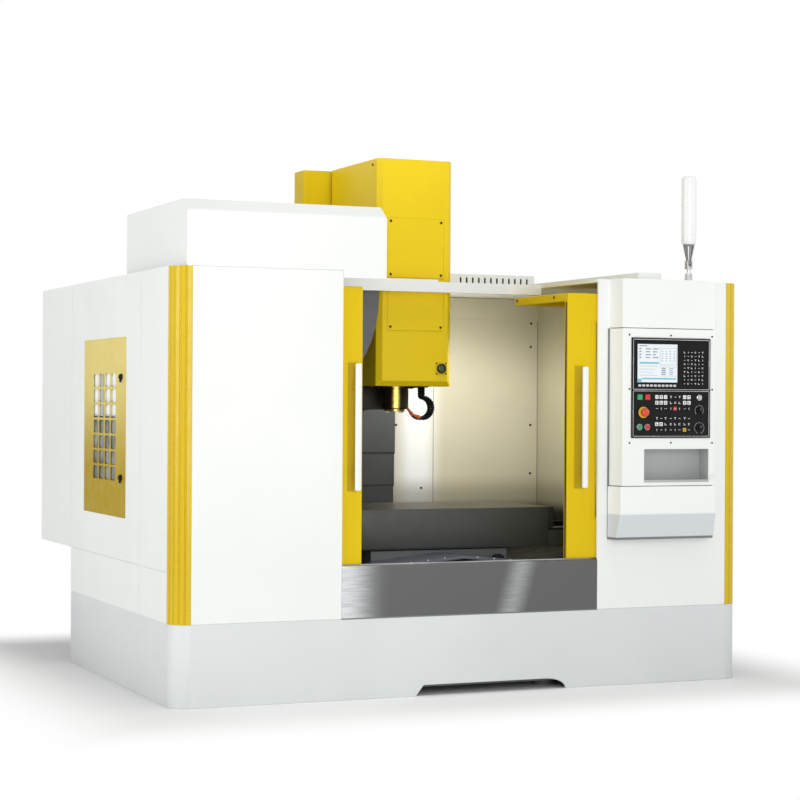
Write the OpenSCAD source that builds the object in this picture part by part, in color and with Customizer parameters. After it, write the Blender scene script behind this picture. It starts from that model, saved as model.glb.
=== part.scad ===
// Vertical machining center: cast bed, saddle, table, column and sliding head inside a sheet-metal enclosure.
// X runs to the right, Y to the back, Z up. The origin is on the floor under the middle of the outer box.

/* [Enclosure] */
// Width over the side panels
body_w = 3400; // [3300:10:3500]
// Depth from the front panels to the back of the rear cabinet
body_d = 2850; // [2800:10:2950]
// Depth of the floor skirt and the lower side panels
base_d = 2090; // [2080:5:2120]
// Height of the roof sheet
roof_h = 2277; // [2270:1:2330]
// Height of the floor skirt
base_h = 430; // [400:5:450]
// Height of the seam between lower and upper side panels
seam_h = 693; // [670:1:720]
// Distance of the vertical side seam from the front
seam_y = 593; // [500:1:700]
// Depth of the folded sheet panels
panel_t = 18; // [14:1:20]
// Radius of the rounded front corners
corner_r = 100; // [80:1:110]
// Radius of the flutes in the corner pillars
flute_r = 6; // [3:0.5:8]
// Width of the joint lines between panels
seam_w = 5; // [3:0.5:8]
// Thickness of thin sheet covers
sheet_t = 6; // [4:0.5:8]

/* [Skirt notch] */
// Left end of the notch at the floor, from the centreline
notch_left = -335; // [-400:1:-300]
// Right end of the notch at the floor, from the centreline
notch_right = 575; // [500:1:600]
// Height of the notch
notch_h = 58; // [40:1:80]
// Length of the slope at the left end of the notch
notch_slope = 45; // [20:1:80]
// Length of the rounded right end of the notch
notch_round = 130; // [60:1:160]

/* [Door opening] */
// Width of the front panels beside the opening
front_panel_w = 933; // [910:1:950]
// Height of the top of the apron under the doors
apron_top = 710; // [700:1:715]
// Distance of the header beam from the front
header_y = 700; // [690:1:710]
// Depth of the header beam
header_d = 55; // [40:1:60]
// Height of the header beam below the roof
header_drop = 60; // [40:1:70]
// Height of the header beam above the roof
header_rise = 13; // [5:1:25]
// Right end of the raised part of the header beam, from the centreline
header_step_x = 100; // [80:1:120]
// Clear height between the apron and the doors
door_lift = 6; // [4:0.5:8]

/* [Doors] */
// Clear width between the open left door and the side of the enclosure
door_pocket = 254; // [234:1:274]
// Thickness of the front leaf of a door
door_t = 40; // [30:1:45]
// Distance of the door face behind the front panel face
door_set = 24; // [22:1:28]
// Height of the top of the doors
door_top = 2195; // [2180:1:2200]
// Depth of the roof leaf behind the door face
door_roof_d = 660; // [600:1:665]
// Height of the roof leaf frame
door_roof_h = 45; // [35:1:50]
// Width of the upright at the closing edge of a door
stile_w = 150; // [120:1:170]
// Width of the other frame members of a door
rail_w = 110; // [80:1:140]
// How far the open left door still reaches into the opening
left_reach = 121; // [117:1:147]
// How far the open right door still reaches into the opening
right_reach = 181; // [147:1:207]
// Thickness of the door window
glass_t = 8; // [6:1:12]
// Running gap between a door and its rail
door_gap = 0.3; // [0.2:0.05:0.6]
// Length of a door handle
handle_l = 675; // [600:1:720]
// Height of the lower end of a door handle
handle_z = 1110; // [1050:1:1150]
// Width of the handle bar
handle_w = 34; // [26:1:40]
// Thickness of the handle bar
handle_t = 20; // [14:1:24]
// Radius of the rounded edges of the handle bar
handle_r = 5; // [2:0.5:6]
// Height of the lower standoff above the lower end of the handle
standoff_low = 91; // [80:1:110]
// Height of the upper standoff above the lower end of the handle
standoff_high = 553; // [530:1:570]
// Radius of the standoffs of a handle
standoff_r = 8; // [6:0.5:9]
// Height of the door rail's upright web
rail_h = 40; // [30:1:50]
// Thickness of the door rail's upright web
rail_t = 6; // [4:0.5:8]
// Thickness of the shelf under the guide bar
shelf_t = 10; // [8:0.5:12]
// Distance of the shelf below the top of the apron
shelf_drop = 20; // [16:1:24]
// Width of the guide bar under the doors
guide_w = 8; // [6:0.5:12]
// Length of the rail beyond the open left door
rail_over = 30; // [20:1:40]
// Width of the sheet edge around the hollow of the roof leaf
leaf_edge = 24; // [18:1:30]
// Clear finger gap behind the handle bar
finger_gap = 40; // [34:1:45]
// Distance of the left handle from the closing edge
left_handle_x = 43; // [40:1:60]
// Distance of the right handle from the closing edge
right_handle_x = 86; // [60:1:100]

/* [Service door] */
// Front edge of the service door opening
service_y0 = 890; // [850:1:930]
// Rear edge of the service door opening
service_y1 = 1795; // [1760:1:1830]
// Lower edge of the service door opening
service_z0 = 930; // [900:1:960]
// Upper edge of the service door opening
service_z1 = 1934; // [1900:1:1960]
// Gap around the service door and the cabinet doors
leaf_gap = 0.8; // [0.6:0.1:0.9]
// Radius of the hinge pins of these doors
pivot_r = 5; // [4:0.5:6]
// Length of the hinge pins beyond the leaf
pivot_l = 12; // [8:1:16]
// Columns of vents
vent_cols = 4; // [2:1:4]
// Rows of vents
vent_rows = 7; // [3:1:7]
// Distance between vents across
vent_dy = 126; // [115:1:130]
// Distance between vents up
vent_dz = 88; // [80:1:92]
// Width of a vent
vent_w = 96; // [70:1:104]
// Height of a vent
vent_h = 66; // [50:1:70]
// Corner radius of a vent
vent_r = 18; // [8:1:24]
// Radius of a latch
latch_r = 15; // [10:1:20]
// Depth of the recess that holds a latch
latch_d = 5; // [3:0.5:8]
// Distance of the latches from the front edge of the service door opening
latch_dy = 85; // [60:1:110]
// Distance of the latches from the upper and lower edge of the opening
latch_dz = 222; // [150:1:300]

/* [Roof pieces] */
// Distance of the raised roof strip's left edge from the right side
strip_dx = 680; // [640:1:720]
// Width of the raised roof strip
strip_w = 150; // [120:1:180]
// Length of the raised roof strip
strip_l = 1450; // [1300:10:1500]
// Height of the raised roof strip
strip_h = 43; // [30:1:60]
// Gap between the column cover and the vent hood
hood_gap = 60; // [6:1:80]
// Length of the vent hood
hood_l = 670; // [640:1:700]
// Front of the vent hood
hood_y = 1520; // [1500:1:1540]
// Depth of the vent hood
hood_d = 700; // [600:1:760]
// Height of the vent hood
hood_h = 108; // [90:1:130]
// Number of slots in the vent hood
hood_slots = 12; // [6:1:14]
// Distance between the slots
hood_pitch = 42; // [36:1:44]
// Width of a slot
hood_slot_w = 12; // [8:1:16]
// Height of a slot
hood_slot_h = 46; // [30:1:60]
// Height of the slots above the roof
hood_slot_z = 41; // [30:1:50]
// Distance of the first slot from the right end of the hood
hood_slot_dx = 60; // [40:1:80]
// Distance of the magazine cover from the left side
mag_cover_dx = 69; // [50:1:100]
// Right side of the magazine cover, from the centreline
mag_cover_right = -520; // [-530:1:-500]
// Depth of the magazine cover
mag_cover_d = 1140; // [1100:1:1180]
// Height of the magazine cover
mag_cover_h = 350; // [320:1:380]
// Depth of the sloped top edge of the magazine cover
mag_bevel_d = 80; // [50:1:100]
// Height of the sloped top edge of the magazine cover
mag_bevel_h = 62; // [40:1:80]
// Width of the column cover on the roof
col_cover_w = 820; // [800:2:840]
// Front of the column cover
col_cover_y = 1560; // [1550:1:1570]
// Depth of the column cover
col_cover_d = 790; // [780:1:820]
// Height of the column cover
col_cover_h = 708; // [680:1:740]
// Depth of the tall front part of the column cover
col_front_d = 165; // [140:1:180]
// Height of the lower back part of the column cover
col_back_h = 493; // [480:1:500]
// Chamfer of the front corners of the column cover
col_cover_c = 8; // [4:1:16]
// Width of the edge on which the column cover rests on the roof
roof_ledge = 20; // [12:1:30]
// Gap between the head cover and the roof beside it
head_gap = 26; // [20:1:30]
// Length of the roof opening to the left of the carousel axis
mag_hole_left = 300; // [280:1:320]
// Length of the roof opening to the right of the carousel axis
mag_hole_right = 230; // [210:1:240]
// Depth of the roof opening behind the carousel's front
mag_hole_d = 260; // [220:1:280]

/* [Work area] */
// Clear width between the liner walls
liner_w = 2720; // [2700:2:2760]
// Height of the liner walls
liner_top = 2120; // [2080:1:2130]
// Distance of the back wall from the front
liner_back = 1900; // [1890:1:1905]
// Distance of the front edge of the side walls from the front
liner_front = 110; // [100:1:120]
// Thickness of the liner sheet
liner_t = 5; // [3:0.5:6]
// Height of the outer edge of the chip chutes
chute_h = 700; // [680:1:710]
// Thickness of the chip chutes
chute_t = 15; // [10:1:18]
// Overlap of the chip chutes on the bed
chute_lap = 10; // [6:1:16]

/* [Castings] */
// Width of the bed
bed_w = 1300; // [1260:2:1320]
// Depth of the bed
bed_d = 2640; // [2560:10:2680]
// Front of the bed
bed_y = 60; // [40:1:80]
// Height of the bed
bed_top = 560; // [550:1:565]
// Height of the levelling pads under the bed
pad_h = 40; // [30:1:50]
// Radius of the levelling pads
pad_r = 60; // [40:1:80]
// Distance of the first levelling pad from the front of the bed
pad_start = 160; // [120:1:200]
// Distance between the levelling pads
pad_pitch = 580; // [560:1:600]
// Distance of the levelling pads from the side of the bed
pad_inset = 110; // [90:1:130]
// Distance of the first side pocket from the front of the bed
pocket_start = 200; // [160:1:240]
// Distance between the side pockets of the bed
pocket_pitch = 480; // [460:1:500]
// Length of a side pocket
pocket_l = 320; // [280:1:360]
// Depth of a side pocket
pocket_d = 60; // [40:1:80]
// Height of the bed's lower flange under a pocket
pocket_low = 90; // [70:1:110]
// Height of the bed's upper flange over a pocket
pocket_high = 110; // [90:1:130]
// Clear gap between the castings and the sheet panels around them
cast_gap = 20; // [10:1:30]
// Distance of the bed ways from the centreline
y_way_x = 330; // [300:1:340]
// Width of the ways
way_w = 60; // [50:1:70]
// Height of the ways
way_h = 40; // [36:1:40]
// Front of the column
column_y = 1920; // [1915:1:1925]
// Depth of the column at its foot
column_d = 680; // [640:1:700]
// Depth of the column at its top
column_top_d = 400; // [380:1:410]
// Height of the top of the column
column_top = 2600; // [2580:1:2650]
// Half width of the column shaft
column_half = 330; // [322:1:332]
// Half width of the column foot
column_foot = 620; // [600:1:630]
// Height where the column foot meets the shaft
column_neck = 1150; // [1130:1:1170]
// Half width of the arch through the column foot
arch_half = 460; // [456:1:466]
// Height of the arch through the column foot
arch_top = 745; // [742:1:748]
// Distance of the column ways from the centreline
z_way_x = 230; // [215:1:235]
// Distance of the column ways' upper end below the top of the column
z_way_drop = 20; // [10:1:40]
// Height of the upright part of the column's back above the neck
column_back_h = 600; // [540:1:640]

/* [Axis drives] */
// Radius of the ball screws
screw_r = 20; // [16:0.5:22]
// Half width of the screw nuts and bearing blocks
nut_half = 50; // [40:1:60]
// Length of the screw nuts
nut_l = 120; // [100:1:140]
// Distance of the outer faces of nuts and bearing blocks from the screw axis
nut_wall = 30; // [26:1:32]
// Length of the screw bearing blocks
bearing_l = 60; // [40:1:80]
// Distance of the bearing blocks from the ends of the ways
bearing_set = 20; // [10:1:40]
// Distance of the X bearing blocks from the ends of the beam
x_bearing_set = 60; // [40:1:100]
// Radius of the Y motor and half width of the Z motor
servo_r = 65; // [55:1:70]
// Length of the servo motors
servo_l = 130; // [100:1:140]
// Thickness of the plate under the Z motor
servo_plate = 20; // [14:1:30]
// Seat of the Z motor plate on the column
servo_seat = 100; // [80:1:140]
// Gap between the bearing blocks and what passes them
drive_gap = 2; // [1:0.5:4]

/* [Table and saddle] */
// Length of the table
table_l = 1400; // [1300:10:1400]
// Depth of the table
table_d = 700; // [680:2:700]
// Thickness of the table
table_t = 120; // [110:1:125]
// Height of the table top
table_top = 985; // [982:1:1000]
// Distance of the table's front edge from the front in the forward position
table_y = 400; // [395:1:405]
// Number of T-slots
slot_count = 5; // [3:1:5]
// Distance between T-slots
slot_pitch = 125; // [100:1:130]
// Width of the T-slot neck
slot_w = 18; // [14:1:22]
// Depth of the T-slot neck
slot_d = 30; // [24:1:34]
// Width of the T-slot head
slot_head_w = 30; // [26:1:34]
// Height of the T-slot head
slot_head_h = 14; // [10:1:18]
// Half length of the X beam of the saddle
x_beam_half = 1320; // [1300:1:1330]
// Depth of the X beam of the saddle
x_beam_d = 500; // [480:2:510]
// Distance of the X ways from the middle of the saddle
x_way_y = 200; // [180:1:210]
// Half length of the table legs on the X ways
leg_half = 330; // [300:1:350]
// Depth of the saddle block
saddle_d = 620; // [600:2:630]
// Half width of the saddle block
saddle_half = 420; // [400:1:430]
// Height of the underside of the saddle block
saddle_z = 640; // [632:1:642]
// Sliding gap between ways and what runs on them
way_gap = 0.3; // [0.2:0.05:0.5]
// Width of the channels that cover the X ways
x_cover_w = 95; // [70:1:98]
// Sheet thickness of these channels
x_cover_t = 4; // [3:0.5:6]
// Distance of the channels behind the table's edge
x_cover_set = 5; // [3:0.5:10]
// Height of the channels' lower edge above the beam's underside
x_cover_lift = 10; // [6:1:16]
// Thickness of the end plates of the channels
x_end_t = 6; // [4:0.5:8]
// Gap between the channels and the underside of the table
x_cover_gap = 3; // [2:0.5:4]
// Thickness of the X beam of the saddle
x_beam_t = 40; // [36:1:42]
// Height of the X beam above the Y covers
x_beam_gap = 5; // [4:0.5:8]
// Length of the saddle's feet on the Y ways
foot_l = 120; // [100:1:140]
// Distance of the saddle's feet from its ends
foot_set = 10; // [6:1:20]
// How far the table legs are wider than the ways on each side
leg_edge = 8; // [4:1:12]

/* [Way covers] */
// Sheet thickness of the telescopic covers
cover_t = 3; // [2:0.5:4]
// Gap between one telescopic cover and the next
cover_gap = 0.5; // [0.4:0.1:0.8]
// Half width of the outer Y cover
y_cover_half = 450; // [440:1:452]
// Height of the eaves of the outer Y cover
y_cover_eave = 692; // [685:1:700]
// Height of the ridge of the outer Y cover
y_cover_ridge = 736; // [725:1:740]
// Height of the lower edge of the moving Y covers
y_cover_low = 650; // [645:1:655]
// Length of one front Y cover
y_front_l = 300; // [290:1:305]
// Length of one rear Y cover
y_rear_l = 280; // [270:1:284]
// Front end of the fixed front Y cover
y_front_start = 115; // [112:1:120]
// Rear end of the fixed rear Y cover
y_rear_end = 2050; // [2045:1:2060]
// Distance of the outer Z cover from the front
z_cover_y = 1815; // [1810:1:1816]
// Half width of the outer Z cover
z_cover_half = 310; // [290:1:315]
// Height of one Z cover
z_cover_h = 345; // [342:1:350]
// Lower edges of the Z covers in the rest position, from the outer to the fixed one
z_cover_z = [1255, 1052, 905, 750]; // [750:1:1300]
// Depth of the folded edges of the Z covers
z_cover_fold = 26; // [20:1:30]

/* [Head] */
// Distance of the spindle axis from the front
spindle_y = 1100; // [1090:1:1110]
// Height of the spindle nose
spindle_z = 1527; // [1500:1:1540]
// Radius of the spindle
spindle_r = 45; // [40:1:48]
// Radius of the spindle nose ring
nose_r = 60; // [54:1:64]
// Thickness of the spindle nose ring
nose_t = 12; // [8:1:16]
// Large radius of the taper in the spindle
taper_r = 22.2; // [20:0.1:24]
// Small radius of the taper in the spindle
taper_r2 = 13; // [10:0.1:16]
// Depth of the taper in the spindle
taper_d = 64; // [55:1:70]
// Radius of the spindle housing
housing_r = 82.5; // [78:0.5:86]
// Radius of the flange of the spindle housing
flange_r = 125; // [110:1:135]
// Running clearance of the spindle
run_gap = 0.06; // [0.02:0.01:0.1]
// Height of the underside of the head casting
head_z = 1690; // [1685:1:1700]
// Height of the top of the head casting
head_top = 2250; // [2230:1:2260]
// Half width of the head casting
head_half = 170; // [150:1:190]
// Distance of the front of the head casting from the spindle axis
head_front = 110; // [100:1:120]
// Distance of the end of the head's flat top from the spindle axis
head_back = 200; // [180:1:220]
// Slope of the head's top towards the carriage
head_slope = 100; // [60:1:140]
// Depth of the brackets that hold the head cover
bracket_d = 260; // [200:1:300]
// Distance of the brackets behind the spindle axis
bracket_y = 140; // [120:1:160]
// Height of a bracket
bracket_h = 80; // [60:1:100]
// Height of the lower bracket above the underside of the head
bracket_low = 60; // [40:1:80]
// Distance of the upper bracket below the top of the head
bracket_high = 240; // [220:1:280]
// Thickness of the carriage plate
carriage_t = 43; // [40:1:46]
// Height of the pads that run on the column ways
shoe_h = 160; // [140:1:180]
// Distance of these pads from the ends of the carriage plate
shoe_set = 20; // [10:1:30]
// How far these pads are wider than the ways on each side
shoe_edge = 5; // [2:0.5:8]
// Overlap of the upper Z cover on the carriage plate
z_cover_lap = 40; // [30:1:60]
// Half width of the carriage plate
carriage_half = 270; // [262:1:280]
// Height of the lower edge of the carriage plate
carriage_z = 1600; // [1595:1:1610]
// Width of the head cover
head_cover_w = 472; // [450:2:480]
// Front of the head cover
head_cover_y = 800; // [790:1:810]
// Depth of the head cover
head_cover_d = 740; // [720:1:750]
// Lower edge of the head cover
head_cover_z = 1674; // [1660:1:1680]
// Top of the head cover
head_cover_top = 2988; // [2960:1:3000]
// Chamfer of the head cover
head_cover_c = 30; // [20:1:40]
// Left edge of the access plates, from the centreline
access_x = -177; // [-184:1:-170]
// Width of the access plates
access_w = 354; // [340:1:364]
// Thickness of the access plates
access_t = 3; // [2:0.5:4]
// Height of the lower access plate
access_h1 = 279; // [260:1:300]
// Height of the upper access plate
access_h2 = 347; // [330:1:360]
// Distance of the upper access plate below the top of the head cover
access_drop = 341; // [330:1:360]
// Gap between the access plates
access_gap = 26; // [16:1:40]
// Height of the motor on the head
motor_h = 530; // [480:1:600]
// Half width of the motor on the head
motor_half = 130; // [110:1:140]
// Radius of a coolant hose
hose_r = 12; // [9:0.5:14]
// Bend radius of a coolant hose
hose_bend = 62; // [55:1:70]
// Length of the straight start of a coolant hose
hose_l = 80; // [70:1:90]
// Distance of the hoses from the flange of the spindle housing
hose_dx = 28; // [24:1:32]
// Distance between the two hoses
hose_dy = 50; // [40:1:60]
// Distance of the front hose before the spindle axis
hose_y = 70; // [60:1:80]
// Distance of the front end of the hose block before the spindle axis
hose_block_y = 90; // [84:1:100]
// Length of the hose block
hose_block_l = 130; // [120:1:140]
// Width of the hose block
hose_block_w = 58; // [54:1:62]
// Thickness of the hose block and of the flange of the spindle housing
flange_t = 25; // [20:1:30]
// Angle over which a coolant hose bends
hose_angle = 170; // [150:1:175]
// Chamfer of the spindle housing
housing_c = 8; // [4:1:12]
// Chamfer of the spindle motor
motor_c = 20; // [12:1:30]
// Height of the fan on the spindle motor
fan_h = 60; // [40:1:80]

/* [Tool magazine] */
// Distance of the carousel axis from the centreline
carousel_x = -770; // [-790:1:-750]
// Height of the carousel axis
carousel_z = 1930; // [1920:1:1940]
// Radius of the carousel disc
carousel_r = 400; // [380:1:405]
// Front of the carousel
carousel_y = 810; // [800:1:820]
// Number of tool pots
pots = 24; // [12:2:24]
// Radius of a tool pot
pot_r = 30; // [24:1:34]
// Length of a tool pot
pot_l = 120; // [100:1:130]
// Thickness of the carousel disc
disc_t = 24; // [16:1:30]
// Radius of the carousel shaft
shaft_r = 25; // [20:1:30]
// Distance of the tool pots from the edge of the disc
pot_edge = 14; // [10:1:20]
// Radius of the hub of the carousel
hub_r = 60; // [50:1:70]
// Length of the hub of the carousel
hub_l = 72; // [60:1:80]
// Half width of the arm that holds the carousel
arm_half = 60; // [50:1:70]

/* [Console] */
// How far the console stands out of the front panel
console_out = 120; // [110:1:140]
// Distance of the console's left edge from the right side
console_dx = 845; // [830:1:860]
// Width of the console front
console_w = 600; // [590:1:620]
// How far the console sides slope outwards
console_slope = 20; // [10:1:30]
// Height of the top of the console box
console_top = 2000; // [1990:1:2020]
// Height of the joint between console box and lower box
console_joint = 1122; // [1115:1:1130]
// Height of the underside of the lower box
console_low = 820; // [800:1:840]
// Height where the lower box starts to slope back
console_bend = 975; // [950:1:1000]
// How far the lower box slopes back
console_back = 42; // [30:1:60]
// Width of the joint lines of the console
console_seam = 4; // [2:0.5:6]
// How much wider the lower box is on each side
lower_widen = 8; // [4:1:12]
// Depth of the space behind the operator panel
panel_space = 30; // [20:1:40]
// Width of the seat around that space
panel_seat = 20; // [14:1:26]
// Left edge of the operator panel, from the console's left edge
panel_dx = 56; // [50:1:70]
// Width of the operator panel
panel_w = 508; // [500:1:515]
// Lower edge of the operator panel
panel_z = 1390; // [1380:1:1400]
// Height of the operator panel
panel_h = 558; // [550:1:565]
// Thickness of the operator panel plate
plate_t = 8; // [6:0.5:10]
// How far the operator panel stands out of the console
panel_out = 2; // [1:0.5:3]
// Width of the rim of the operator panel
rim_w = 9; // [6:1:12]
// Height of the rim of the operator panel
rim_h = 4; // [2:0.5:6]
// Height of the divider from the panel's lower edge
divider_z = 266; // [260:1:272]
// Left edge of the display, from the panel's left edge
screen_dx = 38; // [30:1:45]
// Lower edge of the display, from the panel's lower edge
screen_dz = 310; // [305:1:315]
// Width of the display
screen_w = 257; // [240:1:262]
// Height of the display
screen_h = 214; // [200:1:220]
// Left edge of the tray, from the console's left edge
tray_dx = 141; // [120:1:160]
// Width of the tray
tray_w = 417; // [400:1:430]
// Lower edge of the tray
tray_z = 1142; // [1136:1:1150]
// Height of the tray
tray_h = 185; // [170:1:200]
// Depth of the tray
tray_d = 100; // [80:1:105]
// Side of a square push button
square_w = 30; // [24:1:32]
// Radius of a round push button
round_r = 14; // [10:0.5:16]
// Distance between the two buttons of a pair
button_dx = 49; // [44:1:56]
// Left button column, from the panel's left edge
button_x = 51; // [46:1:56]
// Height of the square buttons above the panel's lower edge
square_dz = 227; // [220:1:232]
// Height of the emergency stop above the panel's lower edge
stop_dz = 142; // [136:1:148]
// Height of the round buttons above the panel's lower edge
round_dz = 60; // [54:1:66]
// Radius of the emergency stop head
stop_r = 24; // [20:1:28]
// Radius of the emergency stop stem
stem_r = 9; // [7:0.5:11]
// How far a push button stands out of the panel
button_out = 9; // [7:1:12]
// How far the emergency stop stands out of the panel
stop_out = 34; // [30:1:40]
// Gap between a button and its hole
button_gap = 0.4; // [0.3:0.1:0.6]
// Dial column, from the panel's left edge
dial_x = 438; // [430:1:446]
// Height of the key switch above the panel's lower edge
lock_dz = 226; // [220:1:232]
// Height of the upper dial above the panel's lower edge
upper_dial_dz = 154; // [148:1:160]
// Height of the lower dial above the panel's lower edge
lower_dial_dz = 55; // [50:1:62]
// Radius of a dial knob
dial_r = 18; // [14:1:20]
// How far a dial stands out of the panel
dial_out = 20; // [16:1:26]
// Radius of the key switch
lock_r = 12; // [11:0.5:15]
// Width of the pointer groove in a knob
groove_w = 3; // [2:0.5:4]
// Height of a key cap above the panel
key_out = 2.5; // [1.5:0.5:4]
// Side of a machine key
key_w = 21; // [18:0.5:23]
// Distance between machine keys across
key_dx = 28; // [25:0.5:30]
// Distance between machine keys up
key_dz = 32; // [28:0.5:34]
// Left edge and number of columns of each group of machine keys
key_groups = [[142, 3], [230, 3], [320, 2]]; // [1:1:400]
// Lower edges of the two banks of machine keys
key_banks = [38, 172]; // [20:1:200]
// Rows in a bank of machine keys
bank_rows = 3; // [2:1:3]
// Left edge of the letter keys, from the panel's left edge
letter_x = 330; // [326:1:336]
// Lower edge of the letter keys, from the panel's lower edge
letter_z = 332; // [326:1:338]
// Columns of letter keys
letter_cols = 6; // [4:1:6]
// Rows of letter keys
letter_rows = 8; // [6:1:9]
// Width of a letter key
letter_w = 18; // [14:0.5:20]
// Height of a letter key
letter_h = 16; // [12:0.5:18]
// Gap between letter keys
letter_gap = 6; // [4:0.5:8]
// Left edge of the keys under the display, from the panel's left edge
soft_x = 42; // [38:1:46]
// Lower edge of the keys under the display, from the panel's lower edge
soft_z = 286; // [280:1:292]
// Number of keys under the display
soft_n = 10; // [6:1:10]
// Distance between the keys under the display
soft_dx = 25; // [22:0.5:26]
// Height of a key under the display
soft_h = 12; // [8:0.5:14]

/* [Signal tower] */
// Distance of the signal tower from the right side
tower_dx = 315; // [300:1:330]
// Distance of the signal tower from the front
tower_y = 60; // [50:1:80]
// Radius of the lamp
lamp_r = 43; // [36:1:46]
// Length of the lamp
lamp_l = 392; // [360:1:420]
// Height of the fold pin above the roof
fold_h = 110; // [100:1:130]
// Length of the cone between fold pin and lamp
cone_l = 108; // [90:1:120]
// Radius of the fold pin
pin_r = 6; // [5:0.5:8]
// Radius of the foot of the tower
foot_r = 33; // [28:1:40]
// Thickness of the foot of the tower
foot_t = 8; // [6:0.5:12]
// Radius of the stem between foot and fork
tower_stem_r = 11; // [8:0.5:13]
// Width of the fork that holds the fold pin
fork_w = 36; // [32:1:42]
// Depth of the fork
fork_d = 26; // [22:1:32]
// Thickness of a fork arm
fork_t = 7; // [5:0.5:8]
// Distance of the bottom of the fork's gap below the fold pin
fork_drop = 20; // [18:0.5:24]
// Thickness of the bottom of the fork
fork_base = 14; // [10:1:18]
// Height of the fork arms above the fold pin
fork_up = 14; // [10:1:18]
// Length of the fold pin beyond the fork on each side
pin_over = 4; // [2:0.5:6]
// Radius of the eye on the fold pin
eye_r = 14; // [11:0.5:16]
// Gap between the eye and the fork on each side
eye_gap = 0.5; // [0.3:0.1:0.8]
// Small radius of the cone between fold pin and lamp
cone_r = 9; // [7:0.5:10]
// Large radius of the cone between fold pin and lamp
cone_r2 = 26; // [20:1:32]
// Chamfer of the lower edge of the lamp
lamp_c1 = 6; // [3:0.5:10]
// Chamfer of the upper edge of the lamp
lamp_c2 = 12; // [6:0.5:16]

/* [Rear cabinet] */
// Width of the frame beside the cabinet doors
cabinet_margin = 132; // [110:1:150]
// Lower edge of the cabinet doors
cabinet_z = 800; // [780:1:830]
// Height of the cabinet doors
cabinet_h = 1380; // [1340:1:1400]
// Depth of the clear space behind the cabinet doors
cabinet_space = 170; // [150:1:180]
// Number of louvres in a cabinet door
louvre_n = 8; // [4:1:10]
// Length of a louvre
louvre_l = 340; // [280:1:400]
// Distance of the louvres from the hinge side
louvre_dx = 280; // [200:1:320]
// Height of the lowest louvre above the lower edge of the door
louvre_z = 150; // [100:1:200]
// Distance between louvres
louvre_pitch = 40; // [30:1:50]
// Height of a louvre
louvre_h = 15; // [8:0.5:20]
// Distance of the grip from the closing edge of a cabinet door
grip_dx = 60; // [40:1:90]
// Width of the grip
grip_w = 30; // [24:1:40]
// Height of the grip
grip_h = 140; // [100:1:180]
// Depth of the grip
grip_d = 8; // [5:0.5:12]

/* [Hidden] */
$fn = 64;
e = 1;
half_w = body_w / 2;
front_y = (console_out + panel_out + stop_out - body_d) / 2;
opening_half = half_w - front_panel_w;
left_open = opening_half - left_reach;
right_open = opening_half - right_reach;
door_w = half_w - left_open - door_pocket;
strip_x = half_w - strip_dx;
hood_x = col_cover_w / 2 + hood_gap;
mag_cover_x = mag_cover_dx - half_w;
console_x = half_w - console_dx;
tower_x = half_w - tower_dx;
leaf_r = panel_t / 2;
service_pivot_x = leaf_r - half_w;
service_pivot_y = service_y1 - leaf_gap - leaf_r;
header_back = header_y + header_d;
door_z = apron_top + door_lift;
saddle_mid = table_y + table_d / 2;
saddle_y0 = saddle_mid - saddle_d / 2;
saddle_y1 = saddle_mid + saddle_d / 2;
table_low = table_top - table_t;
x_beam_z = arch_top + x_beam_gap;
x_beam_top = x_beam_z + x_beam_t;
x_way_top = x_beam_top + way_h;
x_cover_top = table_low - x_cover_gap;
cover_pitch = cover_t + cover_gap;
col_cover_back = col_cover_y + col_cover_d;
col_cover_top = roof_h + col_cover_h;
carriage_y = z_cover_y + cover_t;
carriage_back = carriage_y + carriage_t;
y_screw_z = bed_top + way_h;
x_screw_z = (x_beam_top + table_low) / 2;
z_screw_y = (carriage_back + column_y) / 2;
y_bearing_front = y_front_start + bearing_set;
y_bearing_rear = y_rear_end - bearing_set - bearing_l;
rail_set = door_set + door_t / 2;
panel_x = console_x + panel_dx;
face_y = -console_out;
plate_y = face_y - panel_out;
hinge_z = roof_h + fold_h;
bracket_x = head_cover_w / 2 - sheet_t - way_gap;
wall_w = half_w - panel_t - cabinet_margin;
cabinet_pivot_x = wall_w - leaf_gap - leaf_r;
cabinet_pivot_y = body_d - leaf_r;
slab_black = [0.1, 0.1, 0.11];
white_paint = [0.96, 0.97, 0.95];
yellow_paint = [0.88, 0.74, 0.06];
cast_grey = [0.42, 0.44, 0.43];
dark_steel = [0.27, 0.28, 0.27];

// A box given by its limits on each axis
module block(x0, x1, y0, y1, z0, z1) {
    translate([x0, y0, z0])
        cube([x1 - x0, y1 - y0, z1 - z0]);
}

// The same child on both sides of the centreline
module both_sides() {
    children();
    mirror([1, 0, 0])
        children();
}

// Everything is measured from the front panel face, then centred on the outer box
module from_front() {
    translate([0, front_y, 0])
        children();
}

// A profile drawn in Y and Z, stretched from x0 to x1
module along_x(x0, x1) {
    translate([x0, 0, 0])
        rotate([90, 0, 90])
            linear_extrude(x1 - x0)
                children();
}

// A profile drawn in X and Z, stretched from y0 to y1
module along_y(y0, y1) {
    translate([0, y1, 0])
        rotate([90, 0, 0])
            linear_extrude(y1 - y0)
                children();
}

// A profile drawn in X and Y, stretched from z0 to z1
module along_z(z0, z1) {
    translate([0, 0, z0])
        linear_extrude(z1 - z0)
            children();
}

// A round bar along Y
module rod_y(x, z, r, y0, y1) {
    translate([x, y1, z])
        rotate([90, 0, 0])
            cylinder(r = r, h = y1 - y0);
}

// A round bar along X
module rod_x(y, z, r, x0, x1) {
    translate([x0, y, z])
        rotate([0, 90, 0])
            cylinder(r = r, h = x1 - x0);
}

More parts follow.
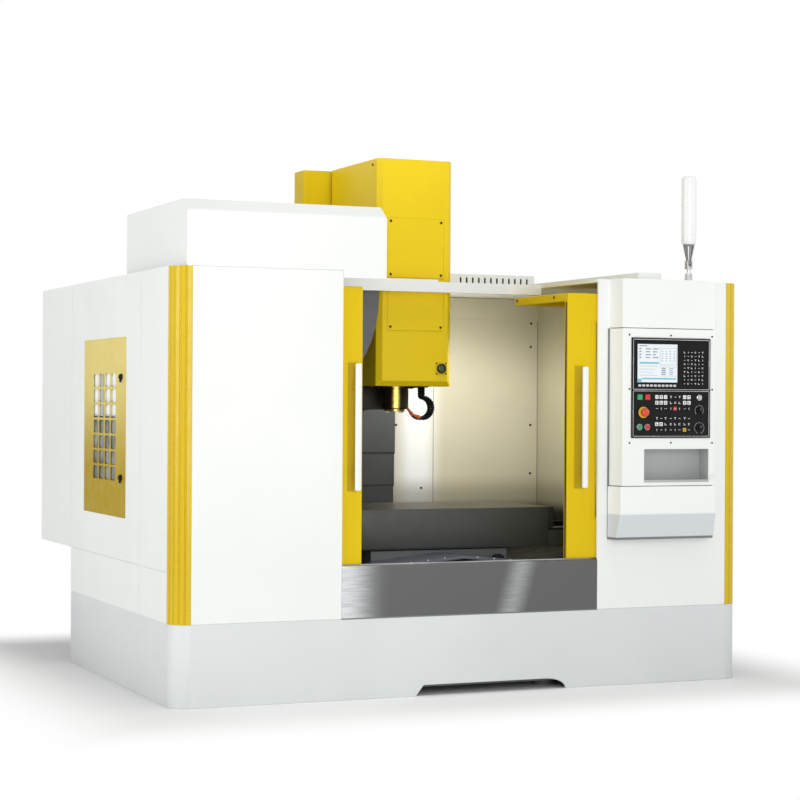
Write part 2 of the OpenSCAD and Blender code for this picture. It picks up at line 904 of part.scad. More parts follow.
// Floor plan with two rounded front corners
module plan(inset) {
    w = half_w - inset;
    r = corner_r - inset;
    difference() {
        translate([-w, inset])
            square([2 * w, base_d - 2 * inset]);
        both_sides()
            difference() {
                translate([w - r, inset - e])
                    square(r + e);
                translate([w - r, corner_r])
                    circle(r);
            }
    }
}

module bed_casting() color(cast_grey) from_front() {
    motor_y = y_bearing_rear + bearing_l;
    difference() {
        block(-bed_w / 2, bed_w / 2, bed_y, bed_y + bed_d, pad_h, bed_top);
        for (y = [bed_y + pocket_start : pocket_pitch : bed_y + bed_d - pocket_pitch])
            both_sides()
                block(bed_w / 2 - pocket_d, bed_w / 2 + e, y, y + pocket_l, pad_h + pocket_low,
                    bed_top - pocket_high);
        block(-servo_r - cast_gap, servo_r + cast_gap, motor_y, motor_y + servo_l + cast_gap,
            y_screw_z - servo_r - cast_gap, bed_top + e);
    }
    both_sides()
        block(y_way_x - way_w / 2, y_way_x + way_w / 2, y_front_start, y_rear_end, bed_top, bed_top + way_h);
    for (y = [bed_y + pad_start : pad_pitch : bed_y + bed_d - pad_r])
        both_sides()
            translate([bed_w / 2 - pad_inset, y, 0])
                cylinder(r = pad_r, h = pad_h);
    for (y = [y_bearing_front, y_bearing_rear])
        block(-nut_half, nut_half, y, y + bearing_l, bed_top, y_screw_z + nut_wall);
    rod_y(0, y_screw_z, screw_r, y_bearing_front + e, y_bearing_rear + e);
    rod_y(0, y_screw_z, servo_r, motor_y - e, motor_y + servo_l);
}

module notch_shape() {
    arc = [for (a = [0 : 15 : 90]) [notch_right - notch_round + notch_round * sin(a), notch_h * cos(a)]];
    polygon(concat([[notch_left, -e], [notch_left, 0], [notch_left + notch_slope, notch_h]], arc,
        [[notch_right, -e]]));
}

module base_skirt() color([0.87, 0.89, 0.89]) from_front() difference() {
    along_z(0, base_h)
        plan(0);
    along_z(-e, base_h + e)
        plan(panel_t);
    along_y(-e, panel_t + e)
        notch_shape();
    block(-bed_w / 2 - cast_gap, bed_w / 2 + cast_gap, base_d - panel_t - e, base_d + e, -e, base_h + e);
}

module front_apron() color([0.66, 0.67, 0.67]) from_front() {
    block(-opening_half, opening_half, 0, panel_t, base_h, apron_top - panel_t / 2);
    rod_x(panel_t / 2, apron_top - panel_t / 2, panel_t / 2, -opening_half, opening_half);
}

module left_front_panel() color(white_paint) from_front()
    block(corner_r - half_w, -opening_half, 0, panel_t, base_h, roof_h);

module console_plan(widen) {
    x1 = console_x + console_w;
    polygon([[console_x - console_slope - widen, 0], [console_x - widen, face_y], [x1 + widen, face_y],
        [x1 + console_slope + widen, 0]]);
}

module right_front_panel() color(white_paint) from_front() {
    block(opening_half, half_w - corner_r, 0, panel_t, base_h, roof_h);
    along_z(console_top + console_seam, roof_h)
        console_plan(0);
}

module corner_pillars() color(yellow_paint) from_front() both_sides()
    translate([half_w - corner_r, corner_r, 0])
        along_z(base_h, roof_h)
            difference() {
                intersection() {
                    circle(corner_r);
                    translate([0, -corner_r])
                        square(corner_r);
                }
                circle(corner_r - panel_t);
                for (a = [-72 : 18 : -18])
                    translate([corner_r * cos(a), corner_r * sin(a)])
                        circle(flute_r);
            }

module side_panel() difference() {
    union() {
        block(half_w - panel_t, half_w, corner_r, base_d, base_h, seam_h);
        block(half_w - panel_t, half_w, corner_r, body_d, seam_h, roof_h);
    }
    seam_x = half_w - panel_t / 4;
    block(seam_x, half_w + e, corner_r - e, body_d + e, seam_h, seam_h + seam_w);
    block(seam_x, half_w + e, seam_y, seam_y + seam_w, base_h - e, roof_h + e);
    block(seam_x, half_w + e, base_d, base_d + seam_w, seam_h, roof_h + e);
}

// The pin line of the service door, thick enough for a pin or for its hole
module service_pins(r, over) translate([service_pivot_x, service_pivot_y, 0])
    along_z(service_z0 + leaf_gap - over, service_z1 - leaf_gap + over)
        circle(r);

module left_side_panel() color(white_paint) from_front() difference() {
    mirror([1, 0, 0])
        side_panel();
    block(-half_w - e, panel_t + e - half_w, service_y0, service_y1, service_z0, service_z1);
    service_pins(pivot_r + run_gap, pivot_l + leaf_gap);
}

module right_side_panel() color(white_paint) from_front()
    side_panel();

module roof_panel() color(white_paint) from_front() {
    inner = half_w - panel_t;
    r = corner_r - panel_t;
    difference() {
        along_z(roof_h - panel_t, roof_h) {
            translate([-inner, corner_r])
                square([2 * inner, body_d - panel_t - corner_r]);
            translate([r - inner, panel_t])
                square([2 * (inner - r), corner_r - panel_t]);
            both_sides()
                translate([inner - r, corner_r])
                    circle(r);
        }
        block(-opening_half, opening_half, 0, header_back, 0, roof_h + e);
        block(-head_cover_w / 2 - head_gap, head_cover_w / 2 + head_gap, header_y, col_cover_y + roof_ledge, 0,
            roof_h + e);
        block(roof_ledge - col_cover_w / 2, col_cover_w / 2 - roof_ledge, col_cover_y, col_cover_back - roof_ledge, 0,
            roof_h + e);
        block(carousel_x - mag_hole_left, carousel_x + mag_hole_right, carousel_y - cast_gap, carousel_y + mag_hole_d,
            0, roof_h + e);
    }
    block(strip_x, strip_x + strip_w, 0, strip_l, roof_h, roof_h + strip_h);
    block(-opening_half, opening_half, header_y, header_back, roof_h - header_drop, roof_h);
    block(mag_cover_right + way_gap, header_step_x, header_y, header_back, roof_h, roof_h + header_rise);
}

module vent_hood() color(white_paint) from_front() difference() {
    block(hood_x, hood_x + hood_l, hood_y, hood_y + hood_d, roof_h, roof_h + hood_h);
    block(hood_x + sheet_t, hood_x + hood_l - sheet_t, hood_y + sheet_t, hood_y + hood_d - sheet_t, roof_h - e,
        roof_h + hood_h - sheet_t);
    for (i = [0 : hood_slots - 1])
        translate([hood_x + hood_l - hood_slot_dx - i * hood_pitch, hood_y - e, roof_h + hood_slot_z])
            cube([hood_slot_w, sheet_t + 2 * e, hood_slot_h]);
}

module magazine_profile(inset) {
    top = roof_h + mag_cover_h - inset;
    low = inset > 0 ? roof_h - e : roof_h;
    polygon([[inset, low], [inset, top - mag_bevel_h], [inset + mag_bevel_d, top], [mag_cover_d - inset, top],
        [mag_cover_d - inset, low]]);
}

module magazine_cover() color(white_paint) from_front() {
    difference() {
        along_x(mag_cover_x, mag_cover_right)
            magazine_profile(0);
        along_x(mag_cover_x + sheet_t, mag_cover_right - sheet_t)
            magazine_profile(sheet_t);
    }
    block(-opening_half, mag_cover_right, 0, header_y, roof_h, roof_h + sheet_t);
}

module column_cover_plan(inset) {
    w = col_cover_w / 2 - inset;
    y0 = col_cover_y + inset;
    y1 = col_cover_back - inset;
    c = col_cover_c;
    polygon([[-w, y1], [-w, y0 + c], [c - w, y0], [w - c, y0], [w, y0 + c], [w, y1]]);
}

// Side view of the column cover: a tall front beside the head and a lower back over the column
module column_cover_side(inset) {
    y0 = col_cover_y + inset;
    y1 = col_cover_back - inset;
    low = roof_h - 2 * e;
    top = col_cover_top - inset;
    step_y = col_cover_y + col_front_d - inset;
    step_z = roof_h + col_back_h - inset;
    polygon([[y0, low], [y0, top], [step_y, top], [step_y, step_z], [y1, step_z], [y1, low]]);
}

module column_top_cover() color(yellow_paint) from_front() difference() {
    intersection() {
        along_z(roof_h, col_cover_top)
            column_cover_plan(0);
        along_x(-col_cover_w, col_cover_w)
            column_cover_side(0);
    }
    intersection() {
        along_z(roof_h - e, col_cover_top)
            column_cover_plan(sheet_t);
        along_x(-col_cover_w, col_cover_w)
            column_cover_side(sheet_t);
    }
    block(-head_half - cast_gap, head_half + cast_gap, col_cover_y - e, col_cover_y + sheet_t + e,
        roof_h - e, col_cover_top - sheet_t);
}

module work_area_liner() color([0.8, 0.79, 0.73]) from_front() {
    half = liner_w / 2;
    bed_edge = bed_w / 2;
    difference() {
        block(-half - liner_t, half + liner_t, liner_front, liner_back + liner_t, chute_h - chute_t, liner_top);
        block(-half, half, liner_front - e, liner_back, 0, liner_top + e);
        translate([0, liner_back, 0]) {
            block(-column_half - liner_t, column_half + liner_t, -e, liner_t + e, 0, liner_top + e);
            block(-arch_half, arch_half, -e, liner_t + e, 0, arch_top);
        }
    }
    both_sides()
        along_y(liner_front, liner_back)
            polygon([[bed_edge - chute_lap, bed_top], [bed_edge - chute_lap, bed_top + chute_t], [half, chute_h],
                [half, chute_h - chute_t], [bed_edge + liner_t, bed_top]]);
}

module column_casting() color(cast_grey) from_front() {
    intersection() {
        along_y(column_y, column_y + column_d)
            polygon([[-column_foot, bed_top], [-arch_half, bed_top], [-arch_half, arch_top], [arch_half, arch_top],
                [arch_half, bed_top], [column_foot, bed_top], [column_half, column_neck], [column_half, column_top],
                [-column_half, column_top], [-column_half, column_neck]]);
        along_x(-column_foot, column_foot)
            polygon([[column_y, bed_top], [column_y, column_top], [column_y + column_top_d, column_top],
                [column_y + column_top_d, roof_h], [column_y + column_d, column_neck + column_back_h],
                [column_y + column_d, bed_top]]);
    }
    both_sides()
        block(z_way_x - way_w / 2, z_way_x + way_w / 2, column_y - way_h, column_y, column_neck,
            column_top - z_way_drop);
    for (z = [column_neck + bearing_set, column_top - z_way_drop - bearing_l])
        block(-nut_half, nut_half, carriage_back + drive_gap, column_y, z, z + bearing_l);
    translate([0, z_screw_y, column_neck + bearing_set + e])
        cylinder(r = screw_r, h = column_top - column_neck - bearing_set);
    block(-servo_r, servo_r, z_screw_y - servo_r, column_y + servo_seat, column_top, column_top + servo_plate);
    block(-servo_r, servo_r, z_screw_y - servo_r, z_screw_y + servo_r, column_top + servo_plate,
        column_top + servo_plate + servo_l);
}

// The pin line of a cabinet door on the right, thick enough for a pin or for its hole
module cabinet_pins(r, over) translate([cabinet_pivot_x, cabinet_pivot_y, 0])
    along_z(cabinet_z + leaf_gap - over, cabinet_z + cabinet_h - leaf_gap + over)
        circle(r);

module rear_cabinet() color(white_paint) from_front() {
    inner = half_w - panel_t;
    back = body_d - panel_t;
    difference() {
        block(-inner, inner, back, body_d, seam_h, roof_h);
        block(-wall_w, wall_w, back - e, body_d + e, cabinet_z, cabinet_z + cabinet_h);
        both_sides()
            cabinet_pins(pivot_r + run_gap, pivot_l + leaf_gap);
    }
    difference() {
        block(-inner, inner, base_d - panel_t, back, seam_h, seam_h + panel_t);
        block(-column_foot - cast_gap, column_foot + cast_gap, base_d - panel_t - e, column_y + column_d + cast_gap, 0,
            roof_h);
    }
    block(-inner, inner, back - cabinet_space - panel_t, back - cabinet_space, seam_h + panel_t, roof_h - panel_t);
    difference() {
        block(-inner, inner, base_d - panel_t, base_d, base_h, seam_h);
        block(-bed_w / 2 - cast_gap, bed_w / 2 + cast_gap, base_d - panel_t - e, base_d + e, 0, roof_h);
    }
}

// A cabinet door with a rolled hinge edge on pins
module cabinet_leaf() {
    z0 = cabinet_z + leaf_gap;
    z1 = cabinet_z + cabinet_h - leaf_gap;
    louvre_x = cabinet_pivot_x - louvre_dx;
    grip_z = (z0 + z1 - grip_h) / 2;
    difference() {
        block(leaf_gap / 2, cabinet_pivot_x, body_d - panel_t, body_d, z0, z1);
        for (i = [0 : louvre_n - 1])
            translate([louvre_x - louvre_l, body_d - panel_t - e, z0 + louvre_z + i * louvre_pitch])
                cube([louvre_l, panel_t + 2 * e, louvre_h]);
        block(grip_dx, grip_dx + grip_w, body_d - grip_d, body_d + e, grip_z, grip_z + grip_h);
    }
    cabinet_pins(leaf_r, 0);
    cabinet_pins(pivot_r, pivot_l);
}

module left_cabinet_door() color(white_paint) from_front()
    mirror([1, 0, 0])
        cabinet_leaf();

module right_cabinet_door() color(white_paint) from_front()
    cabinet_leaf();

module door_rails() color([0.6, 0.61, 0.61]) from_front() {
    half = left_open + door_w + rail_over;
    shelf = apron_top - shelf_drop;
    block(-half, half, panel_t, panel_t + rail_t, shelf - rail_h, shelf);
    block(-half, half, panel_t, door_set + door_t, shelf, shelf + shelf_t);
    block(-half, half, rail_set - guide_w / 2, rail_set + guide_w / 2, shelf + shelf_t, door_z - door_gap);
}

module door_frame() difference() {
    roof_z = door_top - door_roof_h;
    deep = door_set + door_roof_d;
    union() {
        block(0, door_w, door_set, door_set + door_t, door_z, door_top);
        block(0, door_w, door_set + door_t, deep, roof_z, door_top);
    }
    block(stile_w, door_w - rail_w, door_set - e, door_set + door_t + e, door_z + rail_w * 2, roof_z - rail_w);
    block(leaf_edge, door_w - leaf_edge, door_set + door_t + leaf_edge, deep - leaf_edge, roof_z - e,
        door_top - sheet_t);
}

module door_window() {
    g = door_gap;
    mid = door_set + door_t / 2;
    block(stile_w + g, door_w - rail_w - g, mid - glass_t / 2, mid + glass_t / 2, door_z + rail_w * 2 + g,
        door_top - door_roof_h - rail_w - g);
}

module door_handle(x) {
    y = door_set - finger_gap;
    translate([x, y - handle_t / 2, 0])
        along_z(handle_z, handle_z + handle_l)
            rounded(handle_w, handle_t, handle_r);
    for (z = [handle_z + standoff_low, handle_z + standoff_high])
        rod_y(x, z, standoff_r, y - e, door_set);
}

module at_left_door() translate([-left_open, 0, 0])
    mirror([1, 0, 0])
        children();

module at_right_door() translate([right_open, 0, 0])
    children();

module left_door() color(yellow_paint) from_front() at_left_door()
    door_frame();

module left_door_window() color([0.75, 0.82, 0.85, 0.4]) from_front() at_left_door()
    door_window();

module left_door_handle() color(white_paint) from_front() at_left_door()
    door_handle(left_handle_x);

module right_door() color(yellow_paint) from_front() at_right_door()
    door_frame();

module right_door_window() color([0.75, 0.82, 0.85, 0.4]) from_front() at_right_door()
    door_window();

module right_door_handle() color(white_paint) from_front() at_right_door()
    door_handle(right_handle_x);

module rounded(w, h, r) {
    translate([r - w / 2, -h / 2])
        square([w - 2 * r, h]);
    translate([-w / 2, r - h / 2])
        square([w, h - 2 * r]);
    for (x = [r - w / 2, w / 2 - r], y = [r - h / 2, h / 2 - r])
        translate([x, y])
            circle(r, $fn = 24);
}

// The flat of the service door, with its grid of rounded vents
module service_leaf() difference() {
    g = leaf_gap;
    block(-half_w, panel_t - half_w, service_y0 + g, service_pivot_y, service_z0 + g, service_z1 - g);
    mid_y = (service_y0 + service_y1) / 2;
    mid_z = (service_z0 + service_z1) / 2;
    along_x(-half_w - e, panel_t + e - half_w)
        for (i = [0 : vent_cols - 1], j = [0 : vent_rows - 1])
            translate([mid_y + (i - (vent_cols - 1) / 2) * vent_dy, mid_z + (j - (vent_rows - 1) / 2) * vent_dz])
                rounded(vent_w, vent_h, vent_r);
    for (z = [service_z0 + latch_dz, service_z1 - latch_dz])
        rod_x(service_y0 + latch_dy, z, latch_r, -half_w - e, latch_d - half_w);
}

module service_door() color(yellow_paint) from_front() {
    service_leaf();
    service_pins(leaf_r, 0);
    service_pins(pivot_r, pivot_l);
}

module lower_box_profile() {
    polygon([[0, console_low], [face_y + console_back, console_low], [face_y, console_bend],
        [face_y, console_joint - console_seam], [0, console_joint - console_seam]]);
}

module console_housing() color(white_paint) from_front() difference() {
    along_z(console_joint, console_top)
        console_plan(0);
    block(panel_x - button_gap, panel_x + panel_w + button_gap, face_y - e, plate_y + plate_t, panel_z - button_gap,
        panel_z + panel_h + button_gap);
    block(panel_x + panel_seat, panel_x + panel_w - panel_seat, plate_y + plate_t - e, plate_y + plate_t + panel_space,
        panel_z + panel_seat, panel_z + divider_z - panel_seat);
    block(console_x + tray_dx, console_x + tray_dx + tray_w, face_y - e, face_y + tray_d, tray_z, tray_z + tray_h);
}

module console_lower_box() color([0.9, 0.93, 0.94]) from_front() intersection() {
    along_z(console_low - e, console_joint)
        console_plan(lower_widen);
    along_x(console_x - console_w, console_x + 2 * console_w)
        lower_box_profile();
}

// Places on the operator panel, from its lower left corner
module at_panel(x, z) translate([panel_x + x, plate_y, panel_z + z])
    rotate([90, 0, 0])
        children();

module operator_panel() color(slab_black) from_front() difference() {
    union() {
        at_panel(0, 0)
            translate([0, 0, -plate_t])
                cube([panel_w, panel_h, plate_t]);
        difference() {
            at_panel(0, 0)
                cube([panel_w, panel_h, rim_h]);
            at_panel(rim_w, rim_w)
                cube([panel_w - 2 * rim_w, divider_z - 1.5 * rim_w, rim_h + e]);
            at_panel(rim_w, divider_z + rim_w / 2)
                cube([panel_w - 2 * rim_w, panel_h - divider_z - 1.5 * rim_w, rim_h + e]);
        }
    }
    at_panel(screen_dx, screen_dz)
        translate([0, 0, -plate_t / 2])
            cube([screen_w, screen_h, plate_t]);
    for (x = [button_x, button_x + button_dx]) {
        at_panel(x, square_dz)
            translate([0, 0, -plate_t / 2])
                cube([square_w + 2 * button_gap, square_w + 2 * button_gap, plate_t * 3], center = true);
        at_panel(x, round_dz)
            translate([0, 0, -plate_t - e])
                cylinder(r = round_r + button_gap, h = plate_t * 2);
    }
    at_panel(button_x + button_dx / 2, stop_dz)
        translate([0, 0, -plate_t - e])
            cylinder(r = stem_r + button_gap, h = plate_t * 2);
    for (z = [lock_dz, upper_dial_dz, lower_dial_dz])
        at_panel(dial_x, z)
            translate([0, 0, -plate_t - e])
                cylinder(r = stem_r + run_gap, h = plate_t * 2);
}

module display_screen() color([0.86, 0.92, 0.95]) from_front()
    at_panel(screen_dx + button_gap, screen_dz + button_gap)
        translate([0, 0, -plate_t / 2])
            cube([screen_w - 2 * button_gap, screen_h - 2 * button_gap, plate_t / 4]);

module key_grid(x, z, cols, rows, dx, dz, w, h)
    for (i = [0 : cols - 1], j = [0 : rows - 1])
        at_panel(x + i * dx, z + j * dz)
            cube([w, h, key_out]);

module panel_keys() color([0.78, 0.79, 0.78]) from_front() {
    for (group = key_groups, z = key_banks)
        key_grid(group[0], z, group[1], bank_rows, key_dx, key_dz, key_w, key_w);
    key_grid(letter_x, letter_z, letter_cols, letter_rows, letter_w + letter_gap, letter_h + letter_gap, letter_w,
        letter_h);
    key_grid(soft_x, soft_z, soft_n, 1, soft_dx, soft_h, letter_w, soft_h);
}

module square_button(x) at_panel(x, square_dz)
    translate([-square_w / 2, -square_w / 2, -plate_t + 1])
        cube([square_w, square_w, plate_t - 1 + button_out]);

module round_button(x) at_panel(x, round_dz)
    translate([0, 0, -plate_t + 1])
        cylinder(r = round_r, h = plate_t - 1 + button_out);

module start_button() color([0.1, 0.6, 0.3]) from_front()
    square_button(button_x);

module hold_button() color([0.8, 0.1, 0.15]) from_front()
    square_button(button_x + button_dx);

module power_on_button() color([0.05, 0.6, 0.25]) from_front()
    round_button(button_x);

module power_off_button() color([0.8, 0.1, 0.1]) from_front()
    round_button(button_x + button_dx);

module emergency_stop() color([0.85, 0.15, 0.05]) from_front()
    at_panel(button_x + button_dx / 2, stop_dz)
        rotate_extrude()
            polygon([[0, 1 - plate_t], [stem_r, 1 - plate_t], [stem_r, stop_out * 0.5], [stop_r, stop_out * 0.62],
                [stop_r, stop_out * 0.85], [stop_r * 0.8, stop_out], [0, stop_out]]);

// A knob on a stem through the panel, with a pointer groove in its face
module knob(z, r, out) at_panel(dial_x, z) {
    translate([0, 0, -plate_t + 1])
        cylinder(r = stem_r, h = plate_t);
    translate([0, 0, button_gap])
        difference() {
            cylinder(r = r, h = out - button_gap);
            translate([-groove_w / 2, r * 0.3, out * 0.7])
                cube([groove_w, r, out]);
        }
}

module feed_dial() color([0.2, 0.2, 0.21]) from_front()
    knob(upper_dial_dz, dial_r, dial_out);

module speed_dial() color([0.2, 0.2, 0.21]) from_front()
    knob(lower_dial_dz, dial_r, dial_out);

module key_switch() color([0.7, 0.7, 0.7]) from_front()
    knob(lock_dz, lock_r, button_out);

module tower_foot() color([0.7, 0.71, 0.72]) from_front() translate([tower_x, tower_y, 0]) {
    gap_z = hinge_z - fork_drop;
    along_z(roof_h, roof_h + foot_t)
        circle(foot_r);
    along_z(roof_h + foot_t, gap_z - fork_base)
        circle(tower_stem_r);
    along_z(gap_z - fork_base, gap_z)
        square([fork_w, fork_d], center = true);
    both_sides()
        block(fork_w / 2 - fork_t, fork_w / 2, -fork_d / 2, fork_d / 2, gap_z, hinge_z + fork_up);
    rod_x(0, hinge_z, pin_r, -fork_w / 2 - pin_over, fork_w / 2 + pin_over);
}

module tower_lamp() color(white_paint) from_front() translate([tower_x, tower_y, hinge_z]) {
    eye_half = fork_w / 2 - fork_t - eye_gap;
    difference() {
        union() {
            rod_x(0, 0, eye_r, -eye_half, eye_half);
            cylinder(r1 = cone_r, r2 = cone_r2, h = cone_l);
        }
        rod_x(0, 0, pin_r + run_gap, -fork_w, fork_w);
        both_sides()
            block(eye_half, fork_w, -fork_w, fork_w, -fork_w, fork_up + fork_t);
    }
    translate([0, 0, cone_l])
        rotate_extrude()
            polygon([[0, 0], [lamp_r - lamp_c1, 0], [lamp_r, lamp_c1], [lamp_r, lamp_l - lamp_c2],
                [lamp_r - lamp_c2, lamp_l], [0, lamp_l]]);
}

// Places round the carousel axis, one for each tool pot
module at_pots() for (i = [0 : pots - 1])
    translate([carousel_x, carousel_y, carousel_z])
        rotate([0, i * 360 / pots, 0])
            translate([carousel_r - pot_r - pot_edge, 0, 0])
                children();

module tool_carousel() color([0.5, 0.51, 0.53]) from_front() difference() {
    disc_y = carousel_y + pot_l;
    union() {
        rod_y(carousel_x, carousel_z, carousel_r, disc_y, disc_y + disc_t);
        at_pots()
            rod_y(0, 0, pot_r, 0, pot_l + disc_t / 2);
        rod_y(carousel_x, carousel_z, hub_r, disc_y - hub_l, disc_y + disc_t / 2);
    }
    at_pots()
        translate([0, -e, 0])
            rotate([-90, 0, 0])
                cylinder(r1 = taper_r, r2 = taper_r2, h = taper_d);
    rod_y(carousel_x, carousel_z, shaft_r + run_gap, carousel_y, disc_y + disc_t + e);
}

module magazine_frame() color(cast_grey) from_front() {
    back = carousel_y + pot_l + disc_t + way_gap;
    rod_y(carousel_x, carousel_z, shaft_r, back - disc_t - hub_l - bearing_set, back + e);
    block(carousel_x - arm_half, carousel_x + arm_half, back, liner_back, carousel_z - arm_half, carousel_z + arm_half);
}

module saddle() color(cast_grey) from_front() {
    difference() {
        union() {
            block(-saddle_half, saddle_half, saddle_y0, saddle_y1, saddle_z, x_beam_z);
            block(-nut_half, nut_half, saddle_mid - nut_l / 2, saddle_mid + nut_l / 2, y_screw_z - nut_wall,
                saddle_z + e);
        }
        rod_y(0, y_screw_z, screw_r + way_gap, saddle_mid - nut_l, saddle_mid + nut_l);
    }
    block(-x_beam_half, x_beam_half, saddle_mid - x_beam_d / 2, saddle_mid + x_beam_d / 2, x_beam_z, x_beam_top);
    for (s = [-1, 1])
        translate([0, saddle_mid + s * x_way_y, 0])
            block(-x_beam_half, x_beam_half, -way_w / 2, way_w / 2, x_beam_top, x_way_top);
    for (y = [saddle_y0 + foot_set, saddle_y1 - foot_set - foot_l])
        both_sides()
            block(y_way_x - way_w / 2, y_way_x + way_w / 2, y, y + foot_l, bed_top + way_h + way_gap, saddle_z);
    bearing_x = x_beam_half - x_bearing_set;
    both_sides()
        block(bearing_x - bearing_l, bearing_x, saddle_mid - nut_half, saddle_mid + nut_half, x_beam_top,
            x_screw_z + nut_wall);
    rod_x(saddle_mid, x_screw_z, screw_r, e - bearing_x, bearing_x - e);
}

module x_cover_channel() {
    front = table_y + x_cover_set;
    low = x_beam_z + x_cover_lift;
    beam = saddle_mid - x_beam_d / 2;
    t = x_cover_t;
    polygon([[front, low], [beam, low], [beam, low + t], [front + t, low + t], [front + t, x_cover_top - t],
        [front + x_cover_w, x_cover_top - t], [front + x_cover_w, x_cover_top], [front, x_cover_top]]);
}

module x_way_cover() color(dark_steel) from_front() {
    front = table_y + x_cover_set;
    along_x(-x_beam_half, x_beam_half)
        x_cover_channel();
    translate([0, 2 * saddle_mid, 0])
        mirror([0, 1, 0])
            along_x(-x_beam_half, x_beam_half)
                x_cover_channel();
    both_sides()
        block(x_beam_half, x_beam_half + x_end_t, front, 2 * saddle_mid - front, x_beam_z + x_cover_lift, x_cover_top);
}

module table() color(dark_steel) from_front() {
    difference() {
        block(-table_l / 2, table_l / 2, table_y, table_y + table_d, table_low, table_top);
        for (i = [0 : slot_count - 1]) {
            y = saddle_mid + (i - (slot_count - 1) / 2) * slot_pitch;
            z = table_top - slot_d;
            block(-table_l, table_l, y - slot_w / 2, y + slot_w / 2, z, table_top + e);
            block(-table_l, table_l, y - slot_head_w / 2, y + slot_head_w / 2, z - slot_head_h, z);
        }
    }
    for (s = [-1, 1])
        translate([0, saddle_mid + s * x_way_y, 0])
            block(-leg_half, leg_half, -way_w / 2 - leg_edge, way_w / 2 + leg_edge, x_way_top + way_gap, table_low);
    difference() {
        block(-nut_l / 2, nut_l / 2, saddle_mid - nut_half, saddle_mid + nut_half, x_screw_z - nut_wall, table_low);
        rod_x(saddle_mid, x_screw_z, screw_r + way_gap, -nut_l, nut_l);
    }
}

// One roof-shaped Y cover, the n-th from the outside
module y_cover(n, y0, y1, low) {
    d = n * cover_pitch;
    w = y_cover_half - d;
    t = cover_t;
    eave = y_cover_eave - d;
    ridge = y_cover_ridge - d;
    along_y(y0, y1)
        polygon([[-w, low], [-w, eave], [0, ridge], [w, eave], [w, low], [w - t, low], [w - t, eave - t],
            [0, ridge - t], [t - w, eave - t], [t - w, low]]);
}

// Place of the front edge of the n-th front cover, evenly spread between the saddle and the fixed end
function front_cover_y(n) = saddle_y0 - y_front_l - n * (saddle_y0 - y_front_l - y_front_start) / 3;
function rear_cover_y(n) = saddle_y1 + n * (y_rear_end - y_rear_l - saddle_y1) / 3;

module saddle_way_covers() color([0.5, 0.53, 0.57]) from_front() {
    y_cover(0, front_cover_y(0), saddle_y0, y_cover_low);
    y_cover(0, saddle_y1, saddle_y1 + y_rear_l, y_cover_low);
}

module front_cover(n) color([0.5, 0.53, 0.57]) from_front()
    y_cover(n, front_cover_y(n), front_cover_y(n) + y_front_l, y_cover_low);

module rear_cover(n) color([0.5, 0.53, 0.57]) from_front()
    y_cover(n, rear_cover_y(n), rear_cover_y(n) + y_rear_l, y_cover_low);

module front_way_cover_2() front_cover(1);
module front_way_cover_3() front_cover(2);
module rear_way_cover_2() rear_cover(1);
module rear_way_cover_3() rear_cover(2);

// One Z cover, the n-th from the outside, with its side edges folded back to a given depth
module z_cover(n, h, fold) {
    w = z_cover_half - n * cover_pitch;
    y = z_cover_y + n * cover_pitch;
    z = z_cover_z[n];
    block(-w, w, y, y + cover_t, z, z + h);
    both_sides()
        block(w - cover_t, w, y, fold, z, z + h);
}

module z_cover_upper() color(dark_steel) from_front()
    z_cover(0, carriage_z + z_cover_lap - z_cover_z[0], z_cover_y + z_cover_fold);

module z_cover_middle() color(dark_steel) from_front()
    z_cover(1, z_cover_h, z_cover_y + z_cover_fold);

module z_cover_lower() color(dark_steel) from_front()
    z_cover(2, z_cover_h, z_cover_y + z_cover_fold);

module fixed_way_covers() color(dark_steel) from_front() {
    z_cover(3, z_cover_h, column_y);
    y_cover(3, y_front_start, y_front_start + y_front_l, bed_top);
    y_cover(3, y_rear_end - y_rear_l, y_rear_end, bed_top);
}

module head_casting() color(cast_grey) from_front() {
    front = spindle_y - head_front;
    nut_z = (carriage_z + head_top) / 2;
    difference() {
        along_x(-head_half, head_half)
            polygon([[front, head_z], [front, head_top], [spindle_y + head_back, head_top],
                [carriage_y, head_top - head_slope], [carriage_y, head_z]]);
        translate([0, spindle_y, 0])
            along_z(head_z - e, head_top + e)
                circle(housing_r + way_gap);
    }
    block(-carriage_half, carriage_half, carriage_y, carriage_back, carriage_z, head_top);
    for (z = [head_z + bracket_low, head_top - bracket_high])
        block(-bracket_x, bracket_x, spindle_y + bracket_y, spindle_y + bracket_y + bracket_d, z, z + bracket_h);
    shoe_half = way_w / 2 + shoe_edge;
    for (z = [carriage_z + shoe_set, head_top - shoe_set - shoe_h])
        both_sides()
            block(z_way_x - shoe_half, z_way_x + shoe_half, carriage_back, column_y - way_h - way_gap, z, z + shoe_h);
    difference() {
        block(-nut_half, nut_half, carriage_back, column_y - drive_gap, nut_z - nut_l / 2, nut_z + nut_l / 2);
        translate([0, z_screw_y, nut_z - nut_l])
            cylinder(r = screw_r + way_gap, h = 2 * nut_l);
    }
}

module head_plan(inset) {
    w = head_cover_w / 2 - inset;
    y0 = head_cover_y + inset;
    y1 = head_cover_y + head_cover_d;
    polygon([[-w, y1], [-w, y0 + head_cover_c], [head_cover_c - w, y0], [w - head_cover_c, y0],
        [w, y0 + head_cover_c], [w, y1]]);
}

